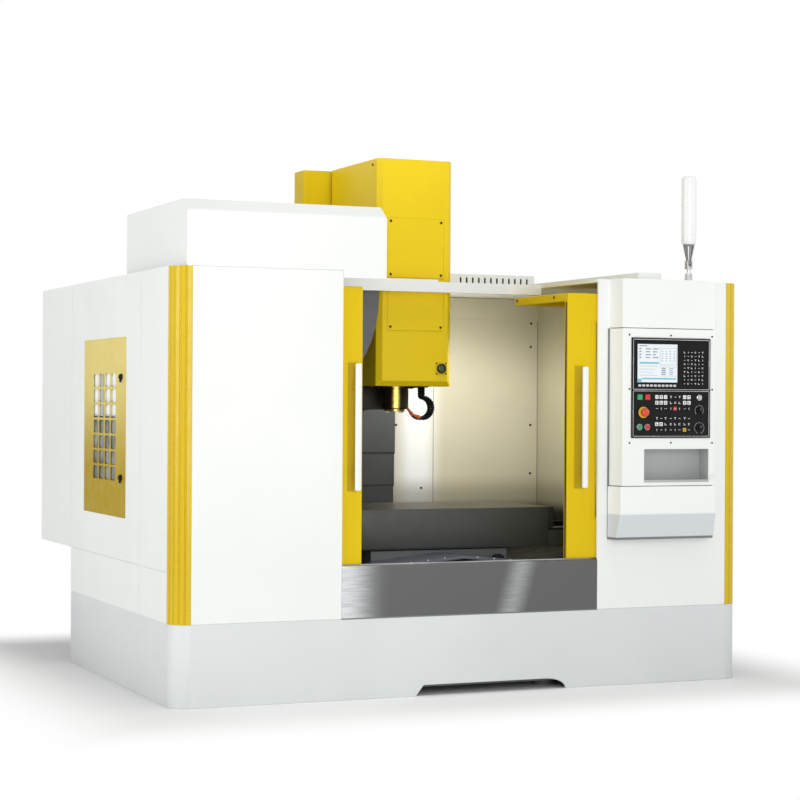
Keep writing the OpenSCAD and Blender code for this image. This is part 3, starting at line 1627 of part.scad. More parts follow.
module head_cover() color(yellow_paint) from_front() {
    back = head_cover_y + head_cover_d;
    c = head_cover_c;
    difference() {
        intersection() {
            along_z(head_cover_z, head_cover_top)
                head_plan(0);
            along_x(-head_cover_w, head_cover_w)
                polygon([[head_cover_y + c, head_cover_z], [head_cover_y, head_cover_z + c],
                    [head_cover_y, head_cover_top], [back, head_cover_top], [back, head_cover_z]]);
        }
        intersection() {
            translate([0, sheet_t + e, 0])
                along_z(head_cover_z - e, head_cover_top - sheet_t)
                    translate([0, -e])
                        head_plan(sheet_t);
            along_x(-head_cover_w, head_cover_w)
                polygon([[head_cover_y + c + sheet_t, head_cover_z - e], [head_cover_y + sheet_t, head_cover_z + c],
                    [head_cover_y + sheet_t, head_cover_top], [back + c, head_cover_top],
                    [back + c, head_cover_z - e]]);
        }
        block(sheet_t - head_cover_w / 2, head_cover_w / 2 - sheet_t, back - c, back + e, head_cover_z - e,
            head_cover_top - sheet_t);
    }
    upper = head_cover_top - access_drop - access_h2;
    for (plate = [[upper - access_gap - access_h1, access_h1], [upper, access_h2]])
        block(access_x, access_x + access_w, head_cover_y - access_t, head_cover_y, plate[0], plate[0] + plate[1]);
}

module spindle_housing() color([0.16, 0.15, 0.13]) from_front() translate([0, spindle_y, 0])
    rotate_extrude() {
        in = spindle_r + run_gap;
        low = spindle_z + nose_t + way_gap;
        polygon([[in, low], [housing_r - housing_c, low], [housing_r, low + housing_c], [housing_r, head_z - flange_t],
            [flange_r, head_z - flange_t], [flange_r, head_z], [housing_r, head_z], [housing_r, head_top],
            [in, head_top]]);
    }

module spindle() color([0.75, 0.68, 0.5]) from_front() translate([0, spindle_y, 0])
    rotate_extrude()
        polygon([[taper_r, spindle_z], [nose_r, spindle_z], [nose_r, spindle_z + nose_t],
            [spindle_r, spindle_z + nose_t], [spindle_r, head_top], [0, head_top], [0, spindle_z + taper_d],
            [taper_r2, spindle_z + taper_d]]);

module spindle_motor() color([0.13, 0.13, 0.14]) from_front() translate([0, spindle_y, 0]) {
    m = motor_half;
    n = motor_half - motor_c;
    low = head_top + way_gap;
    along_z(low, low + motor_h)
        polygon([[-m, -n], [-n, -m], [n, -m], [m, -n], [m, n], [n, m], [-n, m], [-m, n]]);
    along_z(low + motor_h, low + motor_h + fan_h)
        circle(n);
}

module coolant_hose(y) translate([flange_r + hose_dx, y, head_z]) {
    translate([0, 0, -hose_l])
        cylinder(r = hose_r, h = hose_l - flange_t / 2);
    translate([0, 0, -hose_l - hose_bend])
        rotate([90, 0, 0])
            rotate_extrude(angle = hose_angle, start = 90 - hose_angle)
                translate([hose_bend, 0])
                    circle(hose_r);
}

module coolant_hoses() color(slab_black) from_front() {
    y0 = spindle_y - hose_block_y;
    block(flange_r + way_gap, flange_r + hose_block_w, y0, y0 + hose_block_l, head_z - flange_t, head_z);
    for (i = [0, 1])
        coolant_hose(spindle_y - hose_y + i * hose_dy);
}

bed_casting();
base_skirt();
front_apron();
left_front_panel();
right_front_panel();
corner_pillars();
left_side_panel();
right_side_panel();
roof_panel();
vent_hood();
magazine_cover();
column_top_cover();
work_area_liner();
column_casting();
rear_cabinet();
door_rails();
console_housing();
console_lower_box();
operator_panel();
display_screen();
panel_keys();
tower_foot();
magazine_frame();
fixed_way_covers();
saddle();
x_way_cover();
saddle_way_covers();
table();
head_casting();
head_cover();
spindle_housing();
spindle_motor();
coolant_hoses();
z_cover_upper();
spindle();
front_way_cover_2();
front_way_cover_3();
rear_way_cover_2();
rear_way_cover_3();
z_cover_middle();
z_cover_lower();
left_door();
left_door_window();
left_door_handle();
right_door();
right_door_window();
right_door_handle();
service_door();
left_cabinet_door();
right_cabinet_door();
tool_carousel();
emergency_stop();
start_button();
hold_button();
power_on_button();
power_off_button();
feed_dial();
speed_dial();
key_switch();
tower_lamp();
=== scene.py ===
# %% [markdown]
# # A vertical machining center, dressed around its CAD frame
# The imported CAD model is the skeleton of this scene. It brings every panel, casting and cover to its true
# place, in metres, and the pieces below are set against it. Loading it comes first, and its outer box is
# kept at once, because the floor fades out round that box.

# %% Load the frame
from math import cos, pi, radians, sin

import bmesh
import bpy
from mathutils import Matrix, Vector


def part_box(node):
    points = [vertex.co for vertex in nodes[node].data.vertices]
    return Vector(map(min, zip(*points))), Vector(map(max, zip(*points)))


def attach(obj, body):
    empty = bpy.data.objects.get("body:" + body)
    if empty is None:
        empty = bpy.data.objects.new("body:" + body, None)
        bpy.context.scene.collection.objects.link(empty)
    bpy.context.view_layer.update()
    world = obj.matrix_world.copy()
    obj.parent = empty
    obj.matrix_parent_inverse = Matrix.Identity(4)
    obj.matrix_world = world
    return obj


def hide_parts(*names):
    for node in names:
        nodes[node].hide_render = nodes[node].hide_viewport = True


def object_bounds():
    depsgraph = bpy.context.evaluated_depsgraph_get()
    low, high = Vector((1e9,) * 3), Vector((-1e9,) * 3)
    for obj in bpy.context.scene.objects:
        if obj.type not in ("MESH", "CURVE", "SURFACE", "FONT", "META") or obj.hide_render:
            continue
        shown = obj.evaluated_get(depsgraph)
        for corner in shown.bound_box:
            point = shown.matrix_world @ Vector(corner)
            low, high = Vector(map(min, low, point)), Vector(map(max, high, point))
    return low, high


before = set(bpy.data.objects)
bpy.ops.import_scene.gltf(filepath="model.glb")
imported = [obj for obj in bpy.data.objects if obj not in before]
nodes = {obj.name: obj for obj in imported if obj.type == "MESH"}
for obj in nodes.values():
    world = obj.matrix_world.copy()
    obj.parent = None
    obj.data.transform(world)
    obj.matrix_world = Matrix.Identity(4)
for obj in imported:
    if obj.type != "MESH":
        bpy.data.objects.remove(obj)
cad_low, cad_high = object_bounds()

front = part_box("left_front_panel")[0].y
print("frame:", len(nodes), "nodes, front panels at y =", round(front, 3))

# %% [markdown]
# ## The camera
# A long lens from about eye height shows the machine a little from its left. The values are those of a
# camera matched to the edges of the enclosure: the turn to the right, a hair of tilt and roll, and the
# focal length in pixels of a square picture. A camera looks down its own -Z axis, so the matrix holds
# right, up and backward.

# %% Camera
picture_side = 800
focal_pixels = 2044.0
sensor_width = 36.0
turn, rise, roll = radians(23.31), radians(0.055), radians(0.34)
eye = Vector((-4.771, front - 10.054, 1.582))

forward = Vector((sin(turn) * cos(rise), cos(turn) * cos(rise), sin(rise)))
level = Vector((cos(turn), -sin(turn), 0.0))
upward = level.cross(forward)
across = level * cos(roll) + upward * sin(roll)
over = upward * cos(roll) - level * sin(roll)

camera = bpy.data.objects.new("camera", bpy.data.cameras.new("camera"))
camera.data.sensor_width = sensor_width
camera.data.lens = sensor_width * focal_pixels / picture_side
camera.matrix_world = Matrix.Translation(eye) @ Matrix((across, over, -forward)).transposed().to_4x4()
bpy.context.scene.collection.objects.link(camera)
bpy.context.scene.camera = camera
print("camera: lens", round(camera.data.lens, 1), "mm")

# %% [markdown]
# ## Small tools for building materials
# A node tree is a list of boxes joined by wires. These helpers add one box, set its inputs and wire it up,
# so that a finish below reads like a recipe. Every pattern starts from Object coordinates, which stay with
# the piece when a door slides or the head travels.

# %% Node helpers
def feed(tree, socket, value):
    """Sets an input to a number or a colour, or wires another node's output to it."""
    if isinstance(value, bpy.types.NodeSocket):
        tree.links.new(value, socket)
    else:
        socket.default_value = value


def set_inputs(tree, node, **inputs):
    """Sets the inputs of a node by their names."""
    for name, value in inputs.items():
        feed(tree, node.inputs[name.replace("_", " ")], value)
    return node


def add_node(tree, kind, **inputs):
    """A new node of that kind with its inputs set."""
    return set_inputs(tree, tree.nodes.new(kind), **inputs)


def pattern(tree, scale, detail=3.0, stretch=(1, 1, 1)):
    """Noise on Object coordinates, drawn out along the axes with a small stretch factor."""
    place = add_node(tree, "ShaderNodeTexCoord").outputs["Object"]
    if stretch != (1, 1, 1):
        place = add_node(tree, "ShaderNodeMapping", Vector=place, Scale=stretch).outputs["Vector"]
    return add_node(tree, "ShaderNodeTexNoise", Vector=place, Scale=scale, Detail=detail).outputs["Fac"]


def between(tree, factor, low, high, start=0.35, end=0.65):
    """A number that goes from low to high as the factor goes from start to end."""
    ranged = add_node(tree, "ShaderNodeMapRange", Value=factor, From_Min=start, From_Max=end,
                      To_Min=low, To_Max=high)
    ranged.interpolation_type = "SMOOTHSTEP"
    return ranged.outputs["Result"]


def mixed(tree, factor, first, second):
    """Two colours mixed by a factor."""
    made = tree.nodes.new("ShaderNodeMix")
    made.data_type = "RGBA"
    tree.links.new(factor, made.inputs["Factor"])
    for name, value in (("A", first), ("B", second)):
        socket = next(s for s in made.inputs if s.name == name and s.type == "RGBA")
        feed(tree, socket, (*value, 1.0) if isinstance(value, tuple) else value)
    return next(s for s in made.outputs if s.type == "RGBA")


def figure(tree, operation, first, second=0.0):
    """A sum, product or other figure of one or two inputs."""
    made = tree.nodes.new("ShaderNodeMath")
    made.operation = operation
    feed(tree, made.inputs[0], first)
    feed(tree, made.inputs[1], second)
    return made.outputs["Value"]


def away(tree, value, middle):
    """How far a value lies from a middle, on either side."""
    return figure(tree, "ABSOLUTE", figure(tree, "SUBTRACT", value, middle))


def relief(tree, height, strength=0.04, distance=0.002):
    """A fine relief, for the Normal input of a shader."""
    bump = add_node(tree, "ShaderNodeBump", Height=height, Strength=strength, Distance=distance)
    return bump.outputs["Normal"]


def object_axes(tree):
    """The X, Y and Z of the Object coordinates, in metres."""
    place = add_node(tree, "ShaderNodeTexCoord").outputs["Object"]
    return add_node(tree, "ShaderNodeSeparateXYZ", Vector=place).outputs


def new_finish(name):
    """An empty material with its shader, ready for wires."""
    material = bpy.data.materials.new(name)
    material.use_nodes = True
    return material, material.node_tree, material.node_tree.nodes["Principled BSDF"]


# %% [markdown]
# ## Paint and plastic
# Powder coat is never one flat colour: it has a soft orange peel that blurs reflections, slow changes of
# tone over a large sheet, and faint patches that shine a little less. Three noises of very different size
# make that: a slow one for tone, a middle one for gloss and a fine one for the bump. Plastic has a finer
# grain.

# %% Coated finishes
def patchy(tree, rough):
    """A roughness that changes a little from patch to patch."""
    return between(tree, pattern(tree, 14.0, 5.0), rough - 0.05, rough + 0.07)


def coated(name, tone, shade, rough, peel=380.0, depth=0.04, slow=0.9, metal=0.0, coat=0.0, shine=0.5):
    """A painted or moulded surface between two close tones."""
    material, tree, shader = new_finish(name)
    colour = mixed(tree, between(tree, pattern(tree, slow), 0, 1), tone, shade)
    orange_peel = relief(tree, pattern(tree, peel, 2.0), depth)
    set_inputs(tree, shader, Base_Color=colour, Roughness=patchy(tree, rough), Normal=orange_peel,
               Metallic=metal, Coat_Weight=coat, Coat_Roughness=0.15, Specular_IOR_Level=shine)
    return material


def moulded(name, tone, shade, rough, **more):
    """Plastic: a coated surface with a much finer grain."""
    return coated(name, tone, shade, rough, peel=900.0, **more)


white_paint = coated("white_paint", (0.87, 0.89, 0.86), (0.84, 0.858, 0.832), 0.42)
skirt_paint = coated("skirt_paint", (0.72, 0.755, 0.75), (0.67, 0.70, 0.70), 0.45)
yellow_paint = coated("yellow_paint", (0.76, 0.545, 0.006), (0.72, 0.505, 0.004), 0.42, shine=0.16)
# A darker copy of the yellow for the corner pillars, as painted shade, with a glossier coat.
pillar_yellow_painted_shade = coated("pillar_yellow_painted_shade", (0.70, 0.50, 0.005), (0.66, 0.46, 0.004), 0.24, shine=0.35)
# A paler copy of the yellow for the head cover: painted light, against the shade of the enclosure.
head_yellow_painted_light = coated("head_yellow_painted_light", (0.90, 0.655, 0.012), (0.84, 0.60, 0.008), 0.40, shine=0.2)
# A darker copy of the yellow: painted shade on the handle posts, a painted shadow on the strip behind each
# bar.
handle_yellow_painted_shade = coated("handle_yellow_painted_shade", (0.50, 0.345, 0.006), (0.44, 0.30, 0.005), 0.42, shine=0.28)
seam_grey = coated("seam_grey", (0.20, 0.21, 0.20), (0.15, 0.16, 0.15), 0.6)
joint_and_corner_shade_grey = coated("joint_and_corner_shade_grey", (0.10, 0.10, 0.09), (0.07, 0.07, 0.065), 0.6)
black_plastic = moulded("black_plastic", (0.008, 0.008, 0.009), (0.014, 0.014, 0.015), 0.45, shine=0.12)
grey_plastic = moulded("grey_plastic", (0.30, 0.31, 0.31), (0.25, 0.26, 0.26), 0.5)
white_plastic = moulded("white_plastic", (0.84, 0.85, 0.83), (0.78, 0.79, 0.78), 0.4)
milky_plastic = moulded("milky_plastic", (0.86, 0.87, 0.86), (0.82, 0.83, 0.82), 0.3, coat=0.4)
red_plastic = moulded("red_plastic", (0.62, 0.02, 0.012), (0.50, 0.012, 0.01), 0.3, coat=0.4)
green_plastic = moulded("green_plastic", (0.012, 0.36, 0.12), (0.01, 0.28, 0.09), 0.3, coat=0.4)
amber_plastic = moulded("amber_plastic", (0.72, 0.42, 0.02), (0.62, 0.34, 0.015), 0.35)
orange_plastic = moulded("orange_plastic", (0.60, 0.10, 0.015), (0.5, 0.07, 0.012), 0.4)
stop_red = moulded("stop_red", (0.66, 0.055, 0.012), (0.58, 0.035, 0.01), 0.28, coat=0.5)
key_grey = moulded("key_grey", (0.62, 0.63, 0.62), (0.55, 0.56, 0.55), 0.45)
mark_white = moulded("mark_white", (0.66, 0.67, 0.66), (0.58, 0.59, 0.58), 0.5)
filter_paper = coated("filter_paper", (0.95, 0.95, 0.93), (0.92, 0.92, 0.90), 0.8, peel=700.0, depth=0.1)
filter_grey = coated("filter_grey", (0.40, 0.40, 0.36), (0.20, 0.20, 0.17), 0.8, peel=700.0, depth=0.1,
                     slow=7.0)
rubber = coated("rubber", (0.01, 0.01, 0.01), (0.018, 0.018, 0.018), 0.7, peel=600.0, depth=0.1)
print("coated finishes:", len(bpy.data.materials))

# %% [markdown]
# Some sheets get painted shade or a painted reflection that changes their tone with height, because they
# mirror the floor or stand in the shade of what hangs above them. The height in Object coordinates mixes two
# tones, and a little cloudiness breaks up the border.

# %% Graded finishes
def graded(name, low_tone, high_tone, low_z, high_z, rough, foot_tone=None, foot_z=0.0):
    """Painted shade or reflection that changes the tone over a range of heights, with a dark foot line if
    that has a tone.
    """
    material, tree, shader = new_finish(name)
    height = object_axes(tree)["Z"]
    share = between(tree, height, 0.0, 1.0, low_z, high_z)
    cloud = between(tree, pattern(tree, 1.6), -0.06, 0.06)
    tone = mixed(tree, figure(tree, "ADD", share, cloud), low_tone, high_tone)
    if foot_tone:
        foot = between(tree, height, 1.0, 0.0, foot_z - 0.003, foot_z + 0.003)
        tone = mixed(tree, foot, tone, foot_tone)
    set_inputs(tree, shader, Base_Color=tone, Roughness=patchy(tree, rough),
               Normal=relief(tree, pattern(tree, 380.0, 2.0)), Specular_IOR_Level=0.06)
    return material


# Lower console box: a bluish grey of painted shade on the lower, chamfered part, and a dark line along the
# foot.
box_white_painted_shade = graded("box_white_painted_shade", (0.63, 0.67, 0.68), (0.87, 0.89, 0.86), 0.955, 0.97, 0.42,
                   foot_tone=(0.20, 0.21, 0.21), foot_z=0.834)
# X way cover: nearly black painted shade on the upper strip, under the table.
channel_face_painted_shade = graded("channel_face_painted_shade", (0.075, 0.08, 0.068), (0.004, 0.004, 0.004), 0.845, 0.858, 0.5)
# Service door: paler upwards with a painted reflection of bright light above, darker downwards with painted
# shade.
service_yellow_painted_sheen = graded("service_yellow_painted_sheen", (0.44, 0.30, 0.002), (0.80, 0.66, 0.21), 1.10, 1.80, 0.45)
print("with the graded ones:", len(bpy.data.materials))

# %% [markdown]
# ## Metal
# Brushed steel owes its look to thousands of parallel scratches. Noise drawn out along the brushing
# direction gives them: a coarse one for broad bright and dull bands, and a fine one for single scratches.
# The castings get a rough grey paint, and the table its ground iron with a brown film of oil.

# %% Brushed and painted metal
scratch_relief = {"strength": 0.08, "distance": 0.001}


def brushed(name, dark, bright, rough, along=(1.2, 60, 60)):
    """Sheet metal brushed along the axis with the smallest stretch factor."""
    material, tree, shader = new_finish(name)
    broad = between(tree, pattern(tree, 1.7, 2.0, (1.6, 0.5, 0.5)), 0, 1, 0.42, 0.68)
    scratch = pattern(tree, 6.0, 8.0, along)
    tone = mixed(tree, broad, dark, bright)
    streaked = mixed(tree, between(tree, scratch, 0.0, 0.45, 0.4, 0.75), tone, bright)
    set_inputs(tree, shader, Base_Color=streaked, Roughness=between(tree, scratch, rough - 0.08, rough + 0.1),
               Normal=relief(tree, scratch, **scratch_relief), Metallic=1.0)
    return material


rail_steel = brushed("rail_steel", (0.42, 0.43, 0.43), (0.6, 0.6, 0.6), 0.35)
bright_steel = brushed("bright_steel", (0.42, 0.42, 0.42), (0.75, 0.75, 0.74), 0.25, along=(60, 60, 1.2))
bracket_grey = coated("bracket_grey", (0.30, 0.31, 0.30), (0.22, 0.23, 0.22), 0.4, metal=0.3)
dark_screw = coated("dark_screw", (0.035, 0.035, 0.035), (0.06, 0.06, 0.058), 0.4, metal=0.8)
cast_paint = coated("cast_paint", (0.16, 0.17, 0.168), (0.12, 0.13, 0.128), 0.6, peel=150.0, depth=0.35)
cover_dark = coated("cover_dark", (0.075, 0.08, 0.078), (0.055, 0.058, 0.057), 0.45, metal=0.3)
cover_blue = coated("cover_blue", (0.20, 0.22, 0.27), (0.14, 0.155, 0.185), 0.4, metal=0.4)
# Spindle nose: dark steel, its gold tint a painted reflection of the yellow covers.
spindle_gold_painted_reflection = coated("spindle_gold_painted_reflection", (0.62, 0.44, 0.10), (0.40, 0.28, 0.06), 0.24, slow=9.0, metal=1.0)
pot_grey = coated("pot_grey", (0.26, 0.27, 0.29), (0.2, 0.21, 0.22), 0.4, metal=0.4)
tray_grey = coated("tray_grey", (0.46, 0.48, 0.47), (0.40, 0.42, 0.41), 0.5)
table_face = coated("table_face", (0.062, 0.066, 0.056), (0.052, 0.055, 0.047), 0.5, metal=0.2)
guard_grey = coated("guard_grey", (0.135, 0.135, 0.14), (0.11, 0.11, 0.115), 0.5)
# Near-black brown for the head casting and the guard under the head: painted deep shade.
head_painted_deep_shade = coated("head_painted_deep_shade", (0.022, 0.013, 0.004), (0.012, 0.008, 0.003), 0.5)
print("with the plain metals:", len(bpy.data.materials))

# %% [markdown]
# Four surfaces get a finish of their own. The apron, the spindle housing and the liner mirror what stands
# round them in soft bands, and a mirror in a studio would show only the studio. So each band is painted
# into the colour as a painted reflection, at the place where it belongs, and noise breaks it up. The liner
# also gets painted shade under the roof and near the table. The table carries its oil only on the upper face.

# %% Metal with mirrored bands and oil
def apron_finish(name):
    """Dark brushed sheet with painted reflections, a bright left end and one leaning streak, broken up by the
    scratches.
    """
    material, tree, shader = new_finish(name)
    axes = object_axes(tree)
    scratch = pattern(tree, 6.0, 8.0, (1.2, 60, 60))
    end = figure(tree, "POWER", between(tree, axes["X"], 1.0, 0.0, -0.77, -0.46), 1.7)
    leaning = figure(tree, "SUBTRACT", axes["X"], figure(tree, "MULTIPLY", axes["Z"], 0.28))
    streak = figure(tree, "MULTIPLY", between(tree, away(tree, leaning, 0.105), 1.0, 0.0, 0.0, 0.11), 0.36)
    apron_painted_reflection = figure(tree, "MULTIPLY", figure(tree, "ADD", end, streak), between(tree, scratch, 0.7, 1.25))
    tone = mixed(tree, apron_painted_reflection, (0.125, 0.127, 0.125), (0.66, 0.68, 0.69))
    set_inputs(tree, shader, Base_Color=tone, Roughness=between(tree, scratch, 0.34, 0.5),
               Normal=relief(tree, scratch, **scratch_relief), Metallic=0.85)
    return material


def housing_finish(name):
    """Dark oiled steel with a painted reflection of the yellow covers in one upright stripe."""
    material, tree, shader = new_finish(name)
    axes = object_axes(tree)
    right_share = figure(tree, "MULTIPLY", axes["X"], 0.88)
    back_share = figure(tree, "MULTIPLY", axes["Y"], 0.47)
    off = away(tree, figure(tree, "SUBTRACT", right_share, back_share), 0.130)
    stripe_breakup = between(tree, pattern(tree, 30.0), 0.6, 1.0)
    stripe = figure(tree, "MULTIPLY", between(tree, off, 1.0, 0.0, 0.006, 0.030), stripe_breakup)
    colour = mixed(tree, stripe, (0.030, 0.024, 0.012), (0.95, 0.72, 0.16))
    gloss = between(tree, pattern(tree, 12.0, 5.0), 0.26, 0.4)
    set_inputs(tree, shader, Base_Color=colour, Roughness=gloss, Metallic=0.7)
    return material


def liner_finish(name):
    """Satin sheet with a cloudy film of oil, a painted reflection in one pale band, and painted shade towards
    the top, towards the table and, nearly black, below it.
    """
    material, tree, shader = new_finish(name)
    axes = object_axes(tree)
    band = between(tree, away(tree, axes["X"], 0.50), 1.0, 0.0, 0.03, 0.20)
    film = between(tree, pattern(tree, 1.1, 3.0), 0, 1)
    sheet = mixed(tree, film, (0.62, 0.59, 0.45), (0.56, 0.53, 0.40))
    sheet = mixed(tree, band, sheet, (0.95, 0.96, 0.945))
    # Painted shade: darker under the roof and just above the table, nearly black below that.
    top = between(tree, axes["Z"], 0.0, 0.62, 1.65, 2.12)
    low = between(tree, axes["Z"], 0.55, 0.0, 0.98, 1.13)
    liner_with_painted_shade = mixed(tree, figure(tree, "MAXIMUM", top, low), sheet, (0.20, 0.185, 0.11))
    liner_with_painted_shade = mixed(tree, between(tree, axes["Z"], 1.0, 0.0, 0.87, 0.97), liner_with_painted_shade, (0.025, 0.024, 0.02))
    gloss = between(tree, pattern(tree, 9.0, 4.0), 0.30, 0.42)
    set_inputs(tree, shader, Base_Color=liner_with_painted_shade, Roughness=gloss,
               Normal=relief(tree, pattern(tree, 260.0, 2.0), 0.03))
    return material


def oiled_iron(name):
    """Ground iron with grinding marks along X and a patchy brown film."""
    material, tree, shader = new_finish(name)
    upper_face = between(tree, object_axes(tree)["Z"], 0.0, 1.0, 0.981, 0.984)
    film = figure(tree, "MULTIPLY", between(tree, pattern(tree, 3.2, 6.0), 0.2, 1, 0.40, 0.62), upper_face)
    colour = mixed(tree, film, (0.052, 0.055, 0.047), (0.085, 0.058, 0.032))
    grinding = pattern(tree, 9.0, 6.0, (0.6, 40, 40))
    set_inputs(tree, shader, Base_Color=colour, Roughness=between(tree, grinding, 0.36, 0.5),
               Normal=relief(tree, grinding, 0.05, 0.001), Metallic=0.5)
    return material


apron_steel = apron_finish("apron_steel")
nose_steel = housing_finish("nose_steel")
liner_sheet = liner_finish("liner_sheet")
table_iron = oiled_iron("table_iron")
print("with the special ones:", len(bpy.data.materials))

# %% [markdown]
# ## Glass and the screen
# A window pane is clear with a few smudges that blur it. The screen gives a little light of its own, so
# that it stays white in the shade of its frame.

# %% Glass finishes
def pane(name, tint):
    """Clear safety glass with faint smudges."""
    material, tree, shader = new_finish(name)
    colour = mixed(tree, pattern(tree, 2.0), tint, tuple(0.97 * c for c in tint))
    smudges = between(tree, pattern(tree, 6.0, 6.0), 0.02, 0.12)
    set_inputs(tree, shader, Base_Color=colour, Roughness=smudges, Transmission_Weight=1.0, IOR=1.45)
    return material


def lit(name, tone, shade, strength):
    """A lit screen field: its own colour, seen also as light."""
    material, tree, shader = new_finish(name)
    colour = mixed(tree, pattern(tree, 30.0), tone, shade)
    gloss = between(tree, pattern(tree, 60.0), 0.2, 0.26)
    set_inputs(tree, shader, Base_Color=colour, Roughness=gloss, Emission_Color=colour,
               Emission_Strength=strength)
    return material


window_glass = pane("window_glass", (0.86, 0.92, 0.92))
gauge_glass = pane("gauge_glass", (0.30, 0.42, 0.30))
screen_white = lit("screen_white", (0.74, 0.79, 0.82), (0.70, 0.76, 0.80), 0.12)
screen_cyan = lit("screen_cyan", (0.16, 0.48, 0.62), (0.14, 0.44, 0.58), 0.12)
screen_ink = lit("screen_ink", (0.30, 0.33, 0.35), (0.25, 0.28, 0.30), 0.05)
print("all finishes:", len(bpy.data.materials))

# %% [markdown]
# ## Dressing the CAD nodes
# Most panels already have the right shape, so they only change their material. A folded sheet has no razor
# edges, though. A Weld modifier joins the loose triangles of the CAD mesh for the moment of rendering, and
# a Bevel modifier then rounds each edge by a few millimetres. The CAD mesh itself stays as it is.

# %% Finishes for the CAD nodes
node_finish = {
    white_paint: ["left_front_panel", "right_front_panel", "left_side_panel", "right_side_panel",
                  "roof_panel", "vent_hood", "magazine_cover", "rear_cabinet", "console_housing",
                  "left_cabinet_door", "right_cabinet_door", "left_door_handle", "right_door_handle"],
    box_white_painted_shade: ["console_lower_box"],
    skirt_paint: ["base_skirt"],
    yellow_paint: ["column_top_cover", "left_door", "right_door", "service_door"],
    head_yellow_painted_light: ["head_cover"],
    pillar_yellow_painted_shade: ["corner_pillars"],
    apron_steel: ["front_apron"],
    rail_steel: ["door_rails", "tower_foot", "key_switch"],
    cast_paint: ["bed_casting", "column_casting", "saddle", "magazine_frame"],
    head_painted_deep_shade: ["head_casting"],
    liner_sheet: ["work_area_liner"],
    channel_face_painted_shade: ["x_way_cover"],
    cover_dark: ["z_cover_upper", "z_cover_middle", "z_cover_lower", "fixed_way_covers"],
    cover_blue: ["saddle_way_covers", "front_way_cover_2", "front_way_cover_3", "rear_way_cover_2",
                 "rear_way_cover_3"],
    table_iron: ["table"],
    nose_steel: ["spindle_housing"],
    spindle_gold_painted_reflection: ["spindle"],
    black_plastic: ["operator_panel", "spindle_motor", "coolant_hoses", "feed_dial", "speed_dial"],
    screen_white: ["display_screen"],
    grey_plastic: ["panel_keys"],
    green_plastic: ["start_button", "power_on_button"],
    red_plastic: ["hold_button", "power_off_button", "emergency_stop"],
    window_glass: ["left_door_window", "right_door_window"],
    pot_grey: ["tool_carousel"],
    white_plastic: ["tower_lamp"],
}
for material, names in node_finish.items():
    for name in names:
        nodes[name].data.materials.clear()
        nodes[name].data.materials.append(material)
print("dressed nodes:", sum(len(names) for names in node_finish.values()), "of", len(nodes))

# %% Soft edges on sheet metal
edge_radius = {
    0.004: ["left_front_panel", "right_front_panel", "left_side_panel", "right_side_panel", "base_skirt",
            "roof_panel", "rear_cabinet", "console_housing", "console_lower_box", "column_top_cover",
            "head_cover", "vent_hood", "left_door", "right_door", "left_cabinet_door", "right_cabinet_door"],
    0.012: ["magazine_cover"],
    0.006: ["left_door_handle", "right_door_handle"],
    0.002: ["table", "x_way_cover", "operator_panel", "start_button", "hold_button", "saddle"],
}
for radius, names in edge_radius.items():
    for name in names:
        weld = nodes[name].modifiers.new("join_triangles", "WELD")
        weld.merge_threshold = 0.00002
        bevel = nodes[name].modifiers.new("soft_edges", "BEVEL")
        bevel.width = radius
        bevel.segments = 2
        bevel.limit_method = "ANGLE"
        bevel.angle_limit = radians(40)
        bevel.use_clamp_overlap = True
print("softened:", sum(len(names) for names in edge_radius.values()), "nodes")

# %% [markdown]
# ## Small tools for building meshes
# Every new piece is made in a bmesh, a mesh that can be edited by operators. A block starts as a cube and
# gets bevelled edges. A turned part starts as half a profile and is spun round its axis. Shapes can be
# collected in one bmesh, and `piece` turns it into an object that rides on one body of the machine.

# %% Mesh helpers
def block(bm, low, high, soft=0.0, steps=2):
    """A box between two corners with rounded edges."""
    low, high = Vector(low), Vector(high)
    verts = bmesh.ops.create_cube(bm, size=1.0)["verts"]
    bmesh.ops.scale(bm, vec=high - low, verts=verts)
    bmesh.ops.translate(bm, vec=(low + high) / 2, verts=verts)
    if soft:
        edges = list({e for v in verts for e in v.link_edges})
        bmesh.ops.bevel(bm, geom=edges, offset=soft, segments=steps, profile=0.5, affect="EDGES", material=-1)


def collect(bm, part, matrix=Matrix()):
    """Moves a finished part to its place and adds it to the others."""
    mesh = bpy.data.meshes.new("part")
    part.to_mesh(mesh)
    part.free()
    mesh.transform(matrix)
    bm.from_mesh(mesh)
    bpy.data.meshes.remove(mesh)


def lathe(bm, profile, place, direction, steps=32):
    """A turned part: a profile of (radius, height) points spun round a direction."""
    part = bmesh.new()
    verts = [part.verts.new((radius, 0.0, height)) for radius, height in profile]
    edges = [part.edges.new(pair) for pair in zip(verts, verts[1:])]
    bmesh.ops.spin(part, geom=verts + edges, cent=(0, 0, 0), axis=(0, 0, 1), angle=2 * pi, steps=steps,
                   use_merge=True)
    bmesh.ops.remove_doubles(part, verts=part.verts, dist=1e-6)
    bmesh.ops.recalc_face_normals(part, faces=part.faces)
    aim = Vector((0, 0, 1)).rotation_difference(Vector(direction)).to_matrix().to_4x4()
    collect(bm, part, Matrix.Translation(place) @ aim)


def screw(bm, place, direction, radius):
    """A socket screw: a domed head with a recess, in a few dozen faces."""
    height = 0.6 * radius
    recess, foot = 0.4 * height, -0.3 * height
    lathe(bm, [(0, recess), (0.45 * radius, recess), (0.5 * radius, height), (0.8 * radius, 0.9 * height),
               (radius, recess), (radius, foot), (0, foot)], place, direction, 10)


